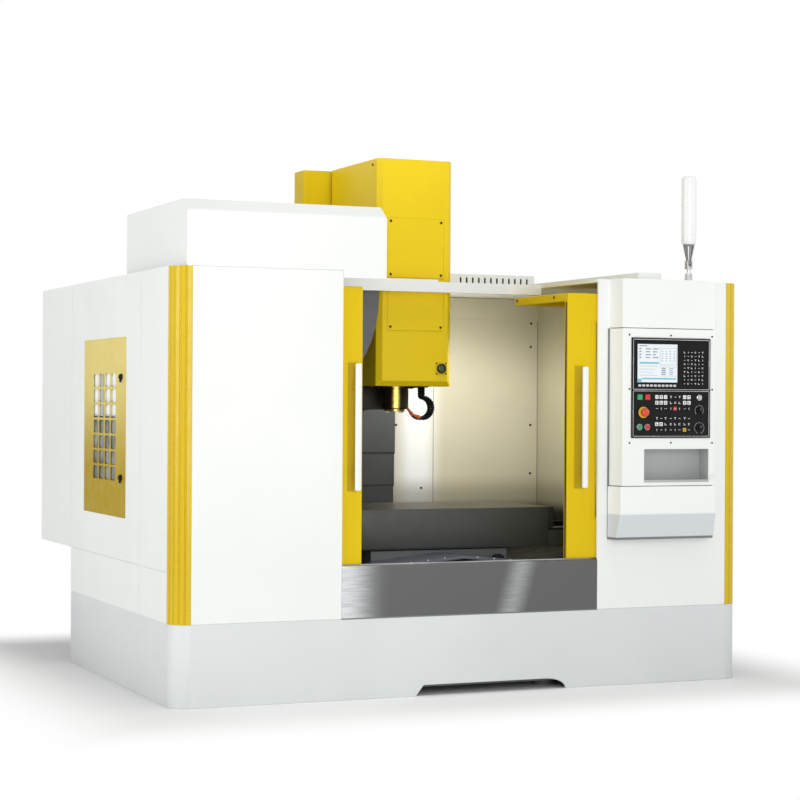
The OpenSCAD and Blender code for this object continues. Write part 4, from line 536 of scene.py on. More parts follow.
def piece(name, bm, material, body, stands_for=()):
    """Turns a bmesh into an object that rides on a body and hides the CAD parts it stands for."""
    mesh = bpy.data.meshes.new(name)
    bm.to_mesh(mesh)
    bm.free()
    mesh.shade_smooth()
    mesh.set_sharp_from_angle(angle=radians(38))
    mesh.materials.append(material)
    made = bpy.data.objects.new(name, mesh)
    bpy.context.scene.collection.objects.link(made)
    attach(made, body)
    if stands_for:
        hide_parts(*stands_for)
    print(name, "has", len(mesh.polygons), "faces")


to_front = Vector((0, -1, 0))
to_left = Vector((-1, 0, 0))
to_back = Vector((0, 1, 0))
upright = Vector((0, 0, 1))

# %% [markdown]
# ## The stage
# A pale floor keeps the machine's shadow and fades to plain white further out, so that no horizon shows
# behind the machine. The world is white to the camera and to shiny surfaces, and a calmer grey as a light.

# %% Floor and world
floor_reach = 60.0
fade_start, fade_end = 0.06, 0.9
floor_mesh = bmesh.new()
bmesh.ops.create_grid(floor_mesh, x_segments=1, y_segments=1, size=floor_reach)
mesh = bpy.data.meshes.new("floor")
floor_mesh.to_mesh(mesh)
floor_mesh.free()
floor = bpy.data.objects.new("floor", mesh)
bpy.context.scene.collection.objects.link(floor)

material, tree, shader = new_finish("studio_floor")
set_inputs(tree, shader, Base_Color=(0.93, 0.93, 0.925, 1.0), Roughness=0.9)
spot = object_axes(tree)
beside = figure(tree, "SUBTRACT", figure(tree, "ABSOLUTE", spot["X"]), cad_high.x)
before = figure(tree, "SUBTRACT", figure(tree, "ABSOLUTE", spot["Y"]), cad_high.y)
fade = between(tree, figure(tree, "MAXIMUM", beside, before), 0.0, 1.0, fade_start, fade_end)
plain_white = add_node(tree, "ShaderNodeEmission", Strength=1.0, Color=(1.0, 1.0, 1.0, 1.0))
far = add_node(tree, "ShaderNodeMixShader", Fac=fade)
tree.links.new(shader.outputs["BSDF"], far.inputs[1])
tree.links.new(plain_white.outputs["Emission"], far.inputs[2])
tree.links.new(far.outputs["Shader"], tree.nodes["Material Output"].inputs["Surface"])
mesh.materials.append(material)

world = bpy.data.worlds.new("studio")
bpy.context.scene.world = world
world.use_nodes = True
tree = world.node_tree
backdrop = tree.nodes["Background"]
ray = tree.nodes.new("ShaderNodeLightPath")
seen = ray.outputs["Is Camera Ray"]
for kind in ("Is Glossy Ray", "Is Transmission Ray"):
    seen = figure(tree, "MAXIMUM", seen, ray.outputs[kind])
world_light = 0.40
brightness = between(tree, seen, world_light, 1.0, 0.0, 1.0)
set_inputs(tree, backdrop, Strength=brightness, Color=(1.0, 1.0, 1.0, 1.0))
print("floor fades to white", fade_end, "m from the machine; world light", world_light)

# %% [markdown]
# ## Soft studio lamps
# Large area lamps do the rest: a broad one before the machine, one above it for the roof, and one from
# either side, the right one weaker. Large lamps give soft shadow edges. A small work lamp under the header
# faces the back wall.

# %% Lamps
def lamp(name, place, target, size, watts):
    """A square area lamp that looks at a target."""
    data = bpy.data.lights.new(name, "AREA")
    data.shape = "SQUARE"
    data.size = size
    data.energy = watts
    made = bpy.data.objects.new(name, data)
    made.location = place
    made.rotation_euler = (Vector(target) - Vector(place)).to_track_quat("-Z", "Y").to_euler()
    made.visible_camera = False
    bpy.context.scene.collection.objects.link(made)


lamp("front_lamp", (-1.7, front - 7.5, 2.6), (0, 0, 1.3), 4.0, 192)
lamp("top_lamp", (0.4, front - 1.0, 7.5), (0, 0, 1.0), 4.0, 105)
lamp("left_lamp", (-7.0, front - 1.5, 2.4), (0, 0.3, 0.9), 3.0, 102)
lamp("right_lamp", (6.5, front - 3.5, 3.2), (0, 0, 1.2), 3.0, 36)
lamp("work_lamp", (0.72, front + 0.95, 1.93), (0.40, front + 1.9, 1.2), 0.4, 11)
bpy.context.scene.view_settings.view_transform = "Standard"
print("lamps placed")

# %% [markdown]
# ## The head: access plates and the oil sight glass
# Two access plates are screwed to the front of the head cover, and low on its right a round glass shows the
# oil level of the head. The screws are small turned parts, like the glass, which sits in a ring on a square
# gasket.

# %% Head details
head_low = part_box("head_cover")[0]
head_face = head_low.y
plate_x = (-0.159, 0.159)
plate_rows = (2.017, 2.254, 2.320, 2.627)
bm = bmesh.new()
for x in plate_x:
    for z in plate_rows:
        screw(bm, (x, head_face, z), to_front, 0.008)
screw(bm, (head_low.x, head_face + 0.09, 2.955), to_left, 0.008)
piece("head_plate_screws", bm, dark_screw, "head")

gauge = Vector((0.165, head_face + 0.003, 1.778))
bm = bmesh.new()
block(bm, gauge + Vector((-0.036, -0.004, -0.036)), gauge + Vector((0.036, 0.0, 0.036)), 0.0015)
piece("sight_gasket", bm, yellow_paint, "head")
bm = bmesh.new()
lathe(bm, [(0.020, 0.003), (0.020, 0.014), (0.024, 0.017), (0.029, 0.014), (0.029, 0.003)], gauge, to_front)
for dx in (-0.03, 0.03):
    for dz in (-0.03, 0.03):
        screw(bm, gauge + Vector((dx, -0.004, dz)), to_front, 0.005)
piece("sight_ring", bm, dark_screw, "head")
bm = bmesh.new()
lathe(bm, [(0.0, 0.012), (0.012, 0.0115), (0.0199, 0.009), (0.0199, 0.0045), (0.0, 0.0045)], gauge, to_front)
piece("sight_glass", bm, gauge_glass, "head")

# %% [markdown]
# ## The coolant hoses
# Coolant reaches the tool through jointed hoses. Each hose is a chain of ball-and-socket links, so it is
# built link by link: one small turned profile, set along an arc with its axis on the tangent. A tapered
# orange nozzle ends both long chains, and a short one ends without. The plain CAD tubes showed only the
# path, and these chains stand in for them.

# %% Hose links and nozzles
hose_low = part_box("coolant_hoses")[0]
hose_x, hose_top = 0.153, 1.668
hose_start, hose_bend = 1.61, 0.062
link_length = 0.0145
link = [(0.0, 0.0), (0.0085, 0.0), (0.0125, 0.004), (0.0125, 0.008), (0.0095, 0.0125), (0.0085, 0.0165),
        (0.0, 0.0165)]
nozzle = [(0.0, 0.0), (0.0115, 0.0), (0.0125, 0.004), (0.0125, 0.014), (0.0105, 0.018), (0.0055, 0.060),
          (0.0035, 0.060), (0.0035, 0.050), (0.0, 0.050)]


def on_bend(centre, angle):
    """Place and direction of a link at an angle of the bend."""
    a = radians(angle)
    return centre + hose_bend * Vector((cos(a), 0, sin(a))), Vector((sin(a), 0, -cos(a)))


links, nozzles = bmesh.new(), bmesh.new()
block(links, (hose_low.x, hose_low.y, hose_top - 0.001),
      (hose_low.x + 0.054, hose_low.y + 0.12, hose_top + 0.022), 0.003)
for y, last_angle in ((hose_low.y + 0.02, -102), (hose_low.y + 0.07, -128)):
    for i in range(4):
        lathe(links, link, (hose_x, y, hose_top - i * link_length), -upright, 12)
    centre = Vector((hose_x, y, hose_start - hose_bend))
    angle = 90.0
    while angle > last_angle:
        lathe(links, link, *on_bend(centre, angle), 12)
        angle -= link_length / hose_bend * 180 / pi
    place, tangent = on_bend(centre, angle)
    lathe(nozzles, nozzle, place, tangent + Vector((0, -0.12, 0)), 16)
short_start = Vector((0.168, hose_low.y + 0.105, hose_top))
short_way = Vector((0.30, -0.1, -0.95)).normalized()
for i in range(4):
    lathe(links, link, short_start + short_way * i * link_length, short_way, 12)
piece("hose_links", links, black_plastic, "head", ["coolant_hoses"])
piece("hose_nozzles", nozzles, orange_plastic, "head")

# %% [markdown]
# ## The spindle nose
# The nose turns inside the dark housing. Its face has two drive keys that catch the slots of a tool holder,
# and a ring of screws holds the front bearing cap on the housing. The keys ride on the spindle, the cap
# screws do not.

# %% Drive keys and cap screws
nose_low, nose_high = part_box("spindle")
axis_y = (nose_low.y + nose_high.y) / 2
key_x, key_face = 0.0415, nose_low.z - 0.0075
bm = bmesh.new()
for side in (-1, 1):
    block(bm, (side * key_x - 0.0145, axis_y - 0.0078, key_face),
          (side * key_x + 0.0145, axis_y + 0.0078, nose_low.z + 0.002), 0.001)
    screw(bm, (side * key_x, axis_y, key_face), -upright, 0.0045)
piece("drive_keys", bm, bright_steel, "spindle")
cap_radius, cap_screws, cap_z = 0.104, 12, 1.665
bm = bmesh.new()
for i in range(cap_screws):
    a = 2 * pi * i / cap_screws
    screw(bm, (cap_radius * cos(a), axis_y + cap_radius * sin(a), cap_z), -upright, 0.008)
piece("flange_screws", bm, dark_screw, "head")

# %% [markdown]
# ## The service door
# The yellow door on the left side is a thin sheet with 28 rounded vents, folded inwards at its edges and
# rolled round the hinge pins. The sheet starts as flat loops of edges: one round the door, one for every
# vent and latch hole. A triangle fill closes the area between them, and solidify gives it the thickness of
# sheet metal.

# %% Service door sheet
door_low, door_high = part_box("service_door")
outer_x = door_low.x
pin_y = front + 1.7852
sheet_z = (door_low.z + 0.012, door_high.z - 0.012)
middle = Vector((outer_x, front + 1.3425, (door_low.z + door_high.z) / 2))
vent_step, vent_half, vent_corner = (0.126, 0.088), (0.0545, 0.0377), 0.020
latch_y, latch_rows = door_low.y + 0.0842, (1.152, 1.712)


def loop(bm, points):
    """A closed row of edges on the plane of the door."""
    verts = [bm.verts.new((outer_x, y, z)) for y, z in points]
    return [bm.edges.new(pair) for pair in zip(verts, verts[1:] + verts[:1])]


def rounded_loop(bm, y, z, half_y, half_z, corner, steps=5):
    """A rectangle with round corners; a circle when the corner is as large as the halves."""
    points = []
    for quarter, (sy, sz) in enumerate(((1, 1), (-1, 1), (-1, -1), (1, -1))):
        for i in range(steps + 1):
            a = pi / 2 * (quarter + i / steps)
            points.append((y + sy * (half_y - corner) + corner * cos(a),
                           z + sz * (half_z - corner) + corner * sin(a)))
    return loop(bm, points)


bm = bmesh.new()
edges = loop(bm, [(door_low.y, sheet_z[0]), (pin_y, sheet_z[0]), (pin_y, sheet_z[1]),
                  (door_low.y, sheet_z[1])])
for column in range(4):
    for row in range(7):
        y, z = middle.y + (column - 1.5) * vent_step[0], middle.z + (row - 3) * vent_step[1]
        edges += rounded_loop(bm, y, z, *vent_half, vent_corner)
for z in latch_rows:
    edges += rounded_loop(bm, latch_y, z, 0.0148, 0.0148, 0.01479)
bmesh.ops.triangle_fill(bm, use_beauty=True, edges=edges, normal=(-1, 0, 0))
bmesh.ops.recalc_face_normals(bm, faces=bm.faces)
if bm.faces[0].normal.x > 0:
    bmesh.ops.reverse_faces(bm, faces=bm.faces)
bmesh.ops.solidify(bm, geom=bm.faces[:], thickness=0.002)
fold = 0.016
block(bm, (outer_x, door_low.y, sheet_z[0]), (outer_x + fold, door_low.y + 0.002, sheet_z[1]), 0.0006, 1)
for z in sheet_z:
    block(bm, (outer_x, door_low.y, z - 0.001), (outer_x + fold, pin_y, z + 0.001), 0.0006, 1)
door_h = door_high.z - door_low.z
pin_r, roll_r = 0.005, 0.009
lathe(bm, [(0.0, 0.0), (pin_r, 0.0), (pin_r, 0.012), (roll_r, 0.0125), (roll_r, door_h - 0.0125),
           (pin_r, door_h - 0.012), (pin_r, door_h), (0.0, door_h)],
      (outer_x + roll_r, pin_y, door_low.z), upright, 24)
# The sheet's yellow is paler upwards, a painted reflection, and darker downwards, painted shade.
piece("service_sheet", bm, service_yellow_painted_sheen, "service_door", ["service_door"])

# %% [markdown]
# Two black quarter-turn latches sit in the round holes. A latch is a turned knob with a drop-shaped lever,
# made from a block whose lower end is drawn narrow. Behind the vents hang two pleated filters, white above
# and grey below. A filter is one zigzag line of edges, extruded upwards and given a thickness.

# %% Latches
bm = bmesh.new()
y = latch_y
for z in latch_rows:
    lathe(bm, [(0.0, 0.019), (0.009, 0.0185), (0.0155, 0.014), (0.018, 0.008), (0.0165, 0.001), (0.0146, 0.0),
               (0.0146, -0.006), (0.0, -0.006)], (outer_x, y, z), to_left, 24)
    part = bmesh.new()
    block(part, (outer_x - 0.015, y - 0.0085, z - 0.030), (outer_x - 0.004, y + 0.0085, z + 0.010), 0.003)
    low_end = [v for v in part.verts if v.co.z < z - 0.02]
    bmesh.ops.scale(part, vec=(1, 0.55, 1), verts=low_end, space=Matrix.Translation((0, -y, 0)))
    collect(bm, part)
piece("service_latches", bm, black_plastic, "service_door")

# %% Pleated filters
filter_y = (middle.y - 0.258, middle.y + 0.252)
filter_x = (outer_x + 0.010, outer_x + 0.017)
filter_z, strip = (1.114, 1.491, 1.75), 0.006
pleats = 46


def pleated(bm, low_z, high_z):
    """A zigzag wall between two heights."""
    line = []
    for i in range(2 * pleats + 1):
        y = filter_y[0] + (filter_y[1] - filter_y[0]) * i / (2 * pleats)
        line.append(bm.verts.new((filter_x[i % 2], y, low_z)))
    edges = [bm.edges.new(pair) for pair in zip(line, line[1:])]
    wall = bmesh.ops.extrude_edge_only(bm, edges=edges)["geom"]
    raised = [v for v in wall if isinstance(v, bmesh.types.BMVert)]
    bmesh.ops.translate(bm, vec=(0, 0, high_z - low_z), verts=raised)
    bmesh.ops.recalc_face_normals(bm, faces=bm.faces)
    bmesh.ops.solidify(bm, geom=bm.faces[:], thickness=0.0008)


bm = bmesh.new()
pleated(bm, filter_z[1] + strip, filter_z[2])
piece("upper_filter", bm, filter_paper, "service_door")
bm = bmesh.new()
pleated(bm, filter_z[0] + strip, filter_z[1])
piece("lower_filter", bm, filter_grey, "service_door")
bm = bmesh.new()
frame_x = (outer_x + 0.002, filter_x[1] + 0.001)
for z in filter_z:
    block(bm, (frame_x[0], filter_y[0], z), (frame_x[1], filter_y[1], z + strip), 0.001)
for y in (filter_y[0] - strip, filter_y[1]):
    block(bm, (frame_x[0], y, filter_z[0]), (frame_x[1], y + strip, filter_z[2] + strip), 0.001)
block(bm, (outer_x + 0.004, middle.y + 0.04, filter_z[1] + strip),
      (outer_x + 0.009, middle.y + 0.095, filter_z[2]), 0.001)
piece("filter_frame", bm, rail_steel, "service_door")

# %% [markdown]
# ## Door handles
# A white bar stands off each door on two yellow posts. The bar is a block with well rounded edges. A post
# is turned with a small foot. Posts and a strip on the door behind the bar get a darker copy of the yellow:
# painted shade on the posts, and on the strip a painted shadow of the bar.

# %% Handles
for side, body in (("left", "left_door"), ("right", "right_door")):
    bar_low, bar_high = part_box(side + "_door_handle")
    door_face = bar_high.y
    mid_x = (bar_low.x + bar_high.x) / 2
    bm = bmesh.new()
    block(bm, bar_low, (bar_high.x, bar_low.y + 0.02, bar_high.z), 0.0075, 4)
    piece(side + "_handle_bar", bm, white_paint, body, [side + "_door_handle"])
    bm = bmesh.new()
    for z in (bar_low.z + 0.091, bar_low.z + 0.553):
        lathe(bm, [(0.0, 0.001), (0.015, 0.001), (0.015, 0.005), (0.009, 0.009), (0.0085, 0.033),
                   (0.012, 0.0405), (0.0, 0.0405)], (mid_x, door_face, z), to_front, 24)
    piece(side + "_handle_posts", bm, handle_yellow_painted_shade, body)
    bm = bmesh.new()
    block(bm, (mid_x - 0.042, door_face - 0.0012, bar_low.z - 0.005),
          (mid_x + 0.014, door_face + 0.0005, bar_high.z + 0.005), 0.0006, 1)
    piece(side + "_handle_shadow_strip", bm, handle_yellow_painted_shade, body)

# %% [markdown]
# ## Window beads
# A yellow bead holds each door pane in its frame: four flat strips in front of the glass, the one beside
# the closing edge wider than the others.

# %% Beads
bead_margin, bead_w = 0.0028, 0.014
for side, body in (("left", "left_door"), ("right", "right_door")):
    pane_low, pane_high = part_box(side + "_door_window")
    face_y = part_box(side + "_door")[0].y + 0.003
    wide = {"left": (0.012, 0.032), "right": (0.032, 0.012)}[side]
    bm = bmesh.new()
    low_z, high_z = pane_low.z - bead_margin, pane_high.z + bead_margin
    block(bm, (pane_low.x - bead_margin, face_y, low_z), (pane_low.x + wide[0], pane_low.y, high_z), 0.0015)
    block(bm, (pane_high.x - wide[1], face_y, low_z), (pane_high.x + bead_margin, pane_low.y, high_z), 0.0015)
    for z in (low_z, high_z - bead_w):
        block(bm, (pane_low.x + wide[0] - 0.002, face_y + 0.0008, z),
              (pane_high.x - wide[1] + 0.002, pane_low.y, z + bead_w), 0.0015)
    piece(side + "_window_bead", bm, yellow_paint, body)

# %% [markdown]
# ## Door bumpers and seals
# Rubber keeps chips and coolant inside. A lip runs down each closing edge, and two bumpers sit on the roof
# leaf of each door. The lip is a thin block and a bumper a flat turned disc, both a fraction of a
# millimetre proud.

# %% Rubber on the doors
for side, body, outward in (("left", "left_door", 1), ("right", "right_door", -1)):
    leaf_low, leaf_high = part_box(side + "_door")
    edge_x = leaf_high.x if side == "left" else leaf_low.x
    bm = bmesh.new()
    x0, x1 = sorted((edge_x - outward * 0.001, edge_x + outward * 0.0004))
    block(bm, (x0, leaf_low.y + 0.012, leaf_low.z + 0.004),
          (x1, leaf_low.y + 0.028, leaf_high.z - 0.05), 0.0003, 1)
    for y in (-0.69, -1.155):
        lathe(bm, [(0.0, -0.001), (0.010, -0.001), (0.010, 0.0004), (0.0, 0.0004)], (edge_x, y, 2.176),
              (outward, 0, 0), 20)
    piece(side + "_door_seal", bm, rubber, body)

# %% [markdown]
# ## Work area
# The back wall is three sheets that meet in two upright seams, held by a few dark screws. A seam is a dark
# strip that stands less than a millimetre off the sheet. That is enough to read as a gap, and the wall stays
# whole. One more dark strip in each corner is painted shade.

# %% Wall seams and screws
wall_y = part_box("work_area_liner")[1].y - 0.005
bm = bmesh.new()
for x, z in ((1.312, 2.10), (1.31, 1.947), (1.309, 1.436), (1.309, 1.12), (0.353, 1.436), (0.53, 1.033),
             (-0.53, 1.033), (-0.353, 1.436), (-1.31, 1.947), (-1.31, 1.436)):
    screw(bm, (x, wall_y, z), to_front, 0.0085)
piece("wall_screws", bm, dark_screw, "machine")
bm = bmesh.new()
seam_top = 2.119
for x in (-0.613, 0.613):
    block(bm, (x - 0.0016, wall_y - 0.0008, 0.75), (x + 0.0016, wall_y + 0.0005, seam_top), 0.0003, 1)
# Painted shade: a dark strip in each corner of the back wall.
for x in (-1.3595, 1.3595):
    x0, x1 = sorted((x, x * 0.9985))
    block(bm, (x0, wall_y - 0.003, 0.71), (x1, wall_y - 0.0005, seam_top), 0.0003, 1)
piece("wall_seams_and_corner_shade", bm, joint_and_corner_shade_grey, "machine")

# %% [markdown]
# Above the wall the sheet goes on to the roof, and a grey guard hangs behind the header, where the tool
# magazine is. The guard is one face with a long curved edge, made thick. A near-black brown guard closes the
# head from below; its colour, like that of the head casting, is painted deep shade.

# %% Upper wall, magazine guard and oil guard
bm = bmesh.new()
wall_top, roof_under = 2.1195, 2.256
for x0, x1 in ((-1.36, -0.42), (0.42, 1.36)):
    block(bm, (x0, wall_y - 0.004, wall_top), (x1, wall_y + 0.003, roof_under), 0.001, 1)
for x in (-1.3625, 1.3595):
    block(bm, (x, front + 0.75, wall_top), (x + 0.003, wall_y, roof_under), 0.001, 1)
piece("upper_wall", bm, liner_sheet, "machine")

guard_y = front + 0.758
guard_line = [(-0.60, 2.254), (-0.246, 2.254), (-0.247, 2.20), (-0.253, 2.10), (-0.266, 2.02), (-0.290, 1.94),
              (-0.325, 1.86), (-0.365, 1.79), (-0.42, 1.73), (-0.50, 1.685), (-0.60, 1.67)]
bm = bmesh.new()
bm.faces.new([bm.verts.new((x, guard_y, z)) for x, z in guard_line])
bmesh.ops.recalc_face_normals(bm, faces=bm.faces)
bmesh.ops.solidify(bm, geom=bm.faces[:], thickness=0.003)
piece("magazine_guard", bm, guard_grey, "machine")

bm = bmesh.new()
block(bm, (-0.25, -0.112, 1.535), (0.12, 0.455, 1.6005), 0.006)
block(bm, (-0.25, -0.118, 1.537), (0.12, -0.1115, 1.673), 0.002)
piece("oil_guard", bm, head_painted_deep_shade, "head")

# %% [markdown]
# ## The table
# A plain dark plate covers the front of the table down to the way cover, held by four small clips along its
# upper edge. It is one thin block with four smaller ones, and it rides on the table, so it travels with it.

# %% Table plate
table_low, table_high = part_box("table")
table_face_y = table_low.y
clip_half = 0.006
bm = bmesh.new()
block(bm, (table_low.x + 0.004, table_face_y - 0.0045, 0.767),
      (0.664, table_face_y - 0.0005, table_high.z - 0.0008), 0.0012)
for x in (-0.42, -0.14, 0.14, 0.42):
    block(bm, (x - clip_half, table_face_y - 0.0052, table_high.z - 0.012),
          (x + clip_half, table_face_y - 0.004, table_high.z - 0.001), 0.0003, 1)
piece("table_plate", bm, table_face, "table")

# %% [markdown]
# ## Way covers
# Telescopic covers keep chips off the ways. A black wiper strip edges each Z cover, and a row of small
# screws holds the front lip of each Y cover before the column. Strips are thin blocks and screws are
# turned. Each rides on its own cover, so that the covers still slide over each other. A small black grease
# block, two bevelled blocks high, sits on the cover of the saddle.

# %% Wiper strips on the Z covers
z_covers = {"z_cover_upper": "head", "z_cover_middle": "middle_z_cover", "z_cover_lower": "lower_z_cover"}
for name, body in z_covers.items():
    sheet_low, sheet_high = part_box(name)
    bm = bmesh.new()
    block(bm, (sheet_low.x + 0.002, sheet_low.y - 0.0012, sheet_low.z + 0.0005),
          (sheet_high.x - 0.002, sheet_low.y + 0.001, sheet_low.z + 0.010), 0.0005, 1)
    for x in (-0.26, -0.13, 0.0, 0.13, 0.26):
        screw(bm, (x, sheet_low.y - 0.0012, sheet_low.z + 0.0055), to_front, 0.0035)
    piece(name + "_wiper", bm, rubber, body)

# %% Screws and grease block on the Y covers
ridge_to_eave = 0.044
lip_screw_x = (-0.4, -0.3, -0.2, -0.1, 0.1, 0.2, 0.3, 0.4)


def roof_height(name, x):
    """Height of a roof-shaped Y cover at a distance from its middle."""
    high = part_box(name)[1]
    return high.z - ridge_to_eave * abs(x) / high.x


for name, body in (("front_way_cover_2", "front_cover_2"), ("front_way_cover_3", "front_cover_3")):
    lip_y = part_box(name)[0].y + 0.0042
    bm = bmesh.new()
    for x in lip_screw_x:
        screw(bm, (x, lip_y, roof_height(name, x) - 0.0035), upright, 0.003)
    piece(name + "_screws", bm, bright_steel, body)
lip_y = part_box("saddle_way_covers")[0].y + 0.014
bm = bmesh.new()
for x in lip_screw_x:
    screw(bm, (x, lip_y, roof_height("saddle_way_covers", x)), upright, 0.006)
piece("saddle_cover_screws", bm, bright_steel, "saddle")
bm = bmesh.new()
grease = Vector((0.31, -1.03, roof_height("saddle_way_covers", 0.31)))
block(bm, grease + Vector((-0.03, -0.012, -0.002)), grease + Vector((0.03, 0.03, 0.014)), 0.003)
block(bm, grease + Vector((-0.022, 0.0, 0.01)), grease + Vector((0.022, 0.02, 0.022)), 0.003)
piece("grease_block", bm, black_plastic, "saddle")

# %% [markdown]
# ## The console: frame, tray and screws
# The operator panel is a black plate in a thin bright frame. Eight dark screws hold the console front. The
# tray below is a sheet-metal box, and a round cap closes a data port beside it. Strips and sheets are
# blocks, and the cap is turned.

# %% Panel frame
panel_low, panel_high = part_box("operator_panel")
panel_face = panel_low.y
plate_face = panel_face + 0.004
frame_w, frame_inset, half_gap = 0.0035, 0.007, 0.003
frame_y = (panel_face - 0.0006, panel_face + 0.002)
divider = panel_low.z + 0.266
left_x, right_x = panel_low.x + frame_inset, panel_high.x - frame_inset
bm = bmesh.new()
lower_field = (panel_low.z + frame_inset, divider - half_gap)
upper_field = (divider + half_gap, panel_high.z - frame_inset)
for z0, z1 in (lower_field, upper_field):
    for x in (left_x, right_x - frame_w):
        block(bm, (x, frame_y[0], z0), (x + frame_w, frame_y[1], z1), 0.0005, 1)
    for z in (z0, z1 - frame_w):
        block(bm, (left_x, frame_y[0], z), (right_x, frame_y[1], z + frame_w), 0.0005, 1)
piece("panel_frame", bm, bright_steel, "machine")

# %% Console screws, tray and port cap
console_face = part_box("console_housing")[0].y
bm = bmesh.new()
for x, z in ((0.897, 1.964), (1.163, 1.964), (1.432, 1.962), (0.898, 1.662), (1.434, 1.662), (0.9, 1.362),
             (1.166, 1.362), (1.435, 1.361)):
    screw(bm, (x, console_face, z), to_front, 0.0055)
piece("console_screws", bm, dark_screw, "machine")

tray_low = Vector((0.9965, console_face, 1.1425))
tray_high = Vector((1.4125, console_face + 0.0995, 1.3265))
tray_front = tray_low.y + 0.001
sheet = 0.0016
bm = bmesh.new()
block(bm, (tray_low.x, tray_high.y - sheet, tray_low.z), tray_high, 0.0004, 1)
for z in (tray_low.z, tray_high.z - sheet):
    block(bm, (tray_low.x, tray_front, z), (tray_high.x, tray_high.y, z + sheet), 0.0004, 1)
for x in (tray_low.x, tray_high.x - sheet):
    block(bm, (x, tray_front, tray_low.z), (x + sheet, tray_high.y, tray_high.z), 0.0004, 1)
block(bm, (tray_low.x, tray_low.y - 0.003, tray_low.z - 0.002),
      (tray_high.x, tray_front, tray_low.z + 0.012), 0.001)
piece("tray_box", bm, tray_grey, "machine")
bm = bmesh.new()
lathe(bm, [(0.0, 0.004), (0.009, 0.0045), (0.0125, 0.006), (0.0165, 0.005), (0.0185, 0.0), (0.0185, -0.001),
           (0.0, -0.001)], (1.437, console_face, 1.166), to_front, 28)
piece("port_cap", bm, white_plastic, "machine")

# %% [markdown]
# ## The console: screen
# The screen shows plain fields: lines of figures as thin bars, a box, two rules, a blue bar and a status
# line. Each is a flat block that stands a fraction of a millimetre off the glass.

# %% Screen fields
glass_low, glass_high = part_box("display_screen")
glass_w, glass_h = glass_high.x - glass_low.x, glass_high.z - glass_low.z


def field(bm, u0, u1, v0, v1):
    """A flat field on the screen, given in shares of its width and height."""
    block(bm, (glass_low.x + u0 * glass_w, glass_low.y - 0.0004, glass_low.z + v0 * glass_h),
          (glass_low.x + u1 * glass_w, glass_low.y + 0.0003, glass_low.z + v1 * glass_h))


bm = bmesh.new()
field(bm, 0.05, 0.53, 0.485, 0.53)
field(bm, 0.10, 0.97, 0.075, 0.115)
field(bm, 0.005, 0.10, 0.01, 0.09)
piece("screen_bars", bm, screen_cyan, "machine")
bm = bmesh.new()
for row in range(4):
    v = 0.86 - 0.075 * row
    field(bm, 0.04, 0.09, v, v + 0.035)
    field(bm, 0.20, 0.33 - 0.02 * (row % 2), v, v + 0.028)
    field(bm, 0.38, 0.52 - 0.03 * (row % 3), v, v + 0.028)
for row in range(5):
    v = 0.80 - 0.06 * row
    for column in range(4):
        field(bm, 0.60 + 0.10 * column, 0.63 + 0.10 * column + 0.01 * (row % 2), v, v + 0.018)
for row in range(4):
    v = 0.20 + 0.05 * row
    field(bm, 0.60, 0.70, v, v + 0.03)
    field(bm, 0.80, 0.88 + 0.02 * (row % 2), v, v + 0.02)
for row in range(4):
    v = 0.42 - 0.08 * row
    field(bm, 0.05, 0.50 - 0.06 * (row % 3), v, v + 0.007)
field(bm, 0.04, 0.24, 0.94, 0.965)
for v in (0.895, 0.455, 0.40, 0.165):
    field(bm, 0.56, 0.98, v, v + 0.005)
for u in (0.56, 0.975):
    field(bm, u, u + 0.005, 0.455, 0.90)
piece("screen_figures", bm, screen_ink, "machine")

# %% [markdown]
# ## The console: keys
# The machine keys stand in three groups. Some caps are white, one is red and one yellow, and the rest are
# black with small pale marks. The letter keys by the screen are black too, and a row of pale keys runs
# below it. A cap is a bevelled block. Its mark is one to three short bars, chosen by the key's place, so
# that the field looks busy without spelling anything.

# %% Key caps and marks
cap_height = 0.0025
cap_y = plate_face - cap_height
caps = {colour: bmesh.new() for colour in ("white", "black", "red", "amber", "grey")}
marks, ink = bmesh.new(), bmesh.new()
sign_bars = [
    [(-0.3, 0.3, -0.07, 0.07)],
    [(-0.08, 0.08, -0.3, 0.3)],
    [(-0.3, -0.12, -0.3, 0.3), (-0.12, 0.3, -0.3, -0.14)],
    [(-0.3, 0.3, 0.14, 0.3), (-0.08, 0.08, -0.3, 0.14)],
    [(-0.3, -0.12, -0.1, 0.1), (0.12, 0.3, -0.1, 0.1)],
    [(-0.28, 0.28, 0.14, 0.26), (-0.28, 0.28, -0.26, -0.14), (-0.28, -0.12, -0.14, 0.14)],
]


def key(colour, x, z, w, h):
    """A key cap, placed by its lower left corner on the panel."""
    x, z = panel_low.x + x, panel_low.z + z
    block(caps[colour], (x, cap_y, z), (x + w, plate_face + 0.0005, z + h), 0.0008, 1)


def mark(bm, x, z, w, h, kind):
    """A small sign in the middle of a key, made of one to three bars."""
    cx, cz = panel_low.x + x + w / 2, panel_low.z + z + h / 2
    for u0, u1, v0, v1 in sign_bars[kind % len(sign_bars)]:
        block(bm, (cx + u0 * w, cap_y - 0.0003, cz + v0 * h), (cx + u1 * w, cap_y + 0.0003, cz + v1 * h))


def cap_colour(row, column):
    """The colour of a machine key, by its place."""
    if (row, column) == (2, 4):
        return "red"
    if (row, column) == (5, 6):
        return "amber"
    if row < 2 and not 3 <= column <= 5:
        return "white"
    return "white" if (row, column) in ((4, 0), (4, 1)) else "black"


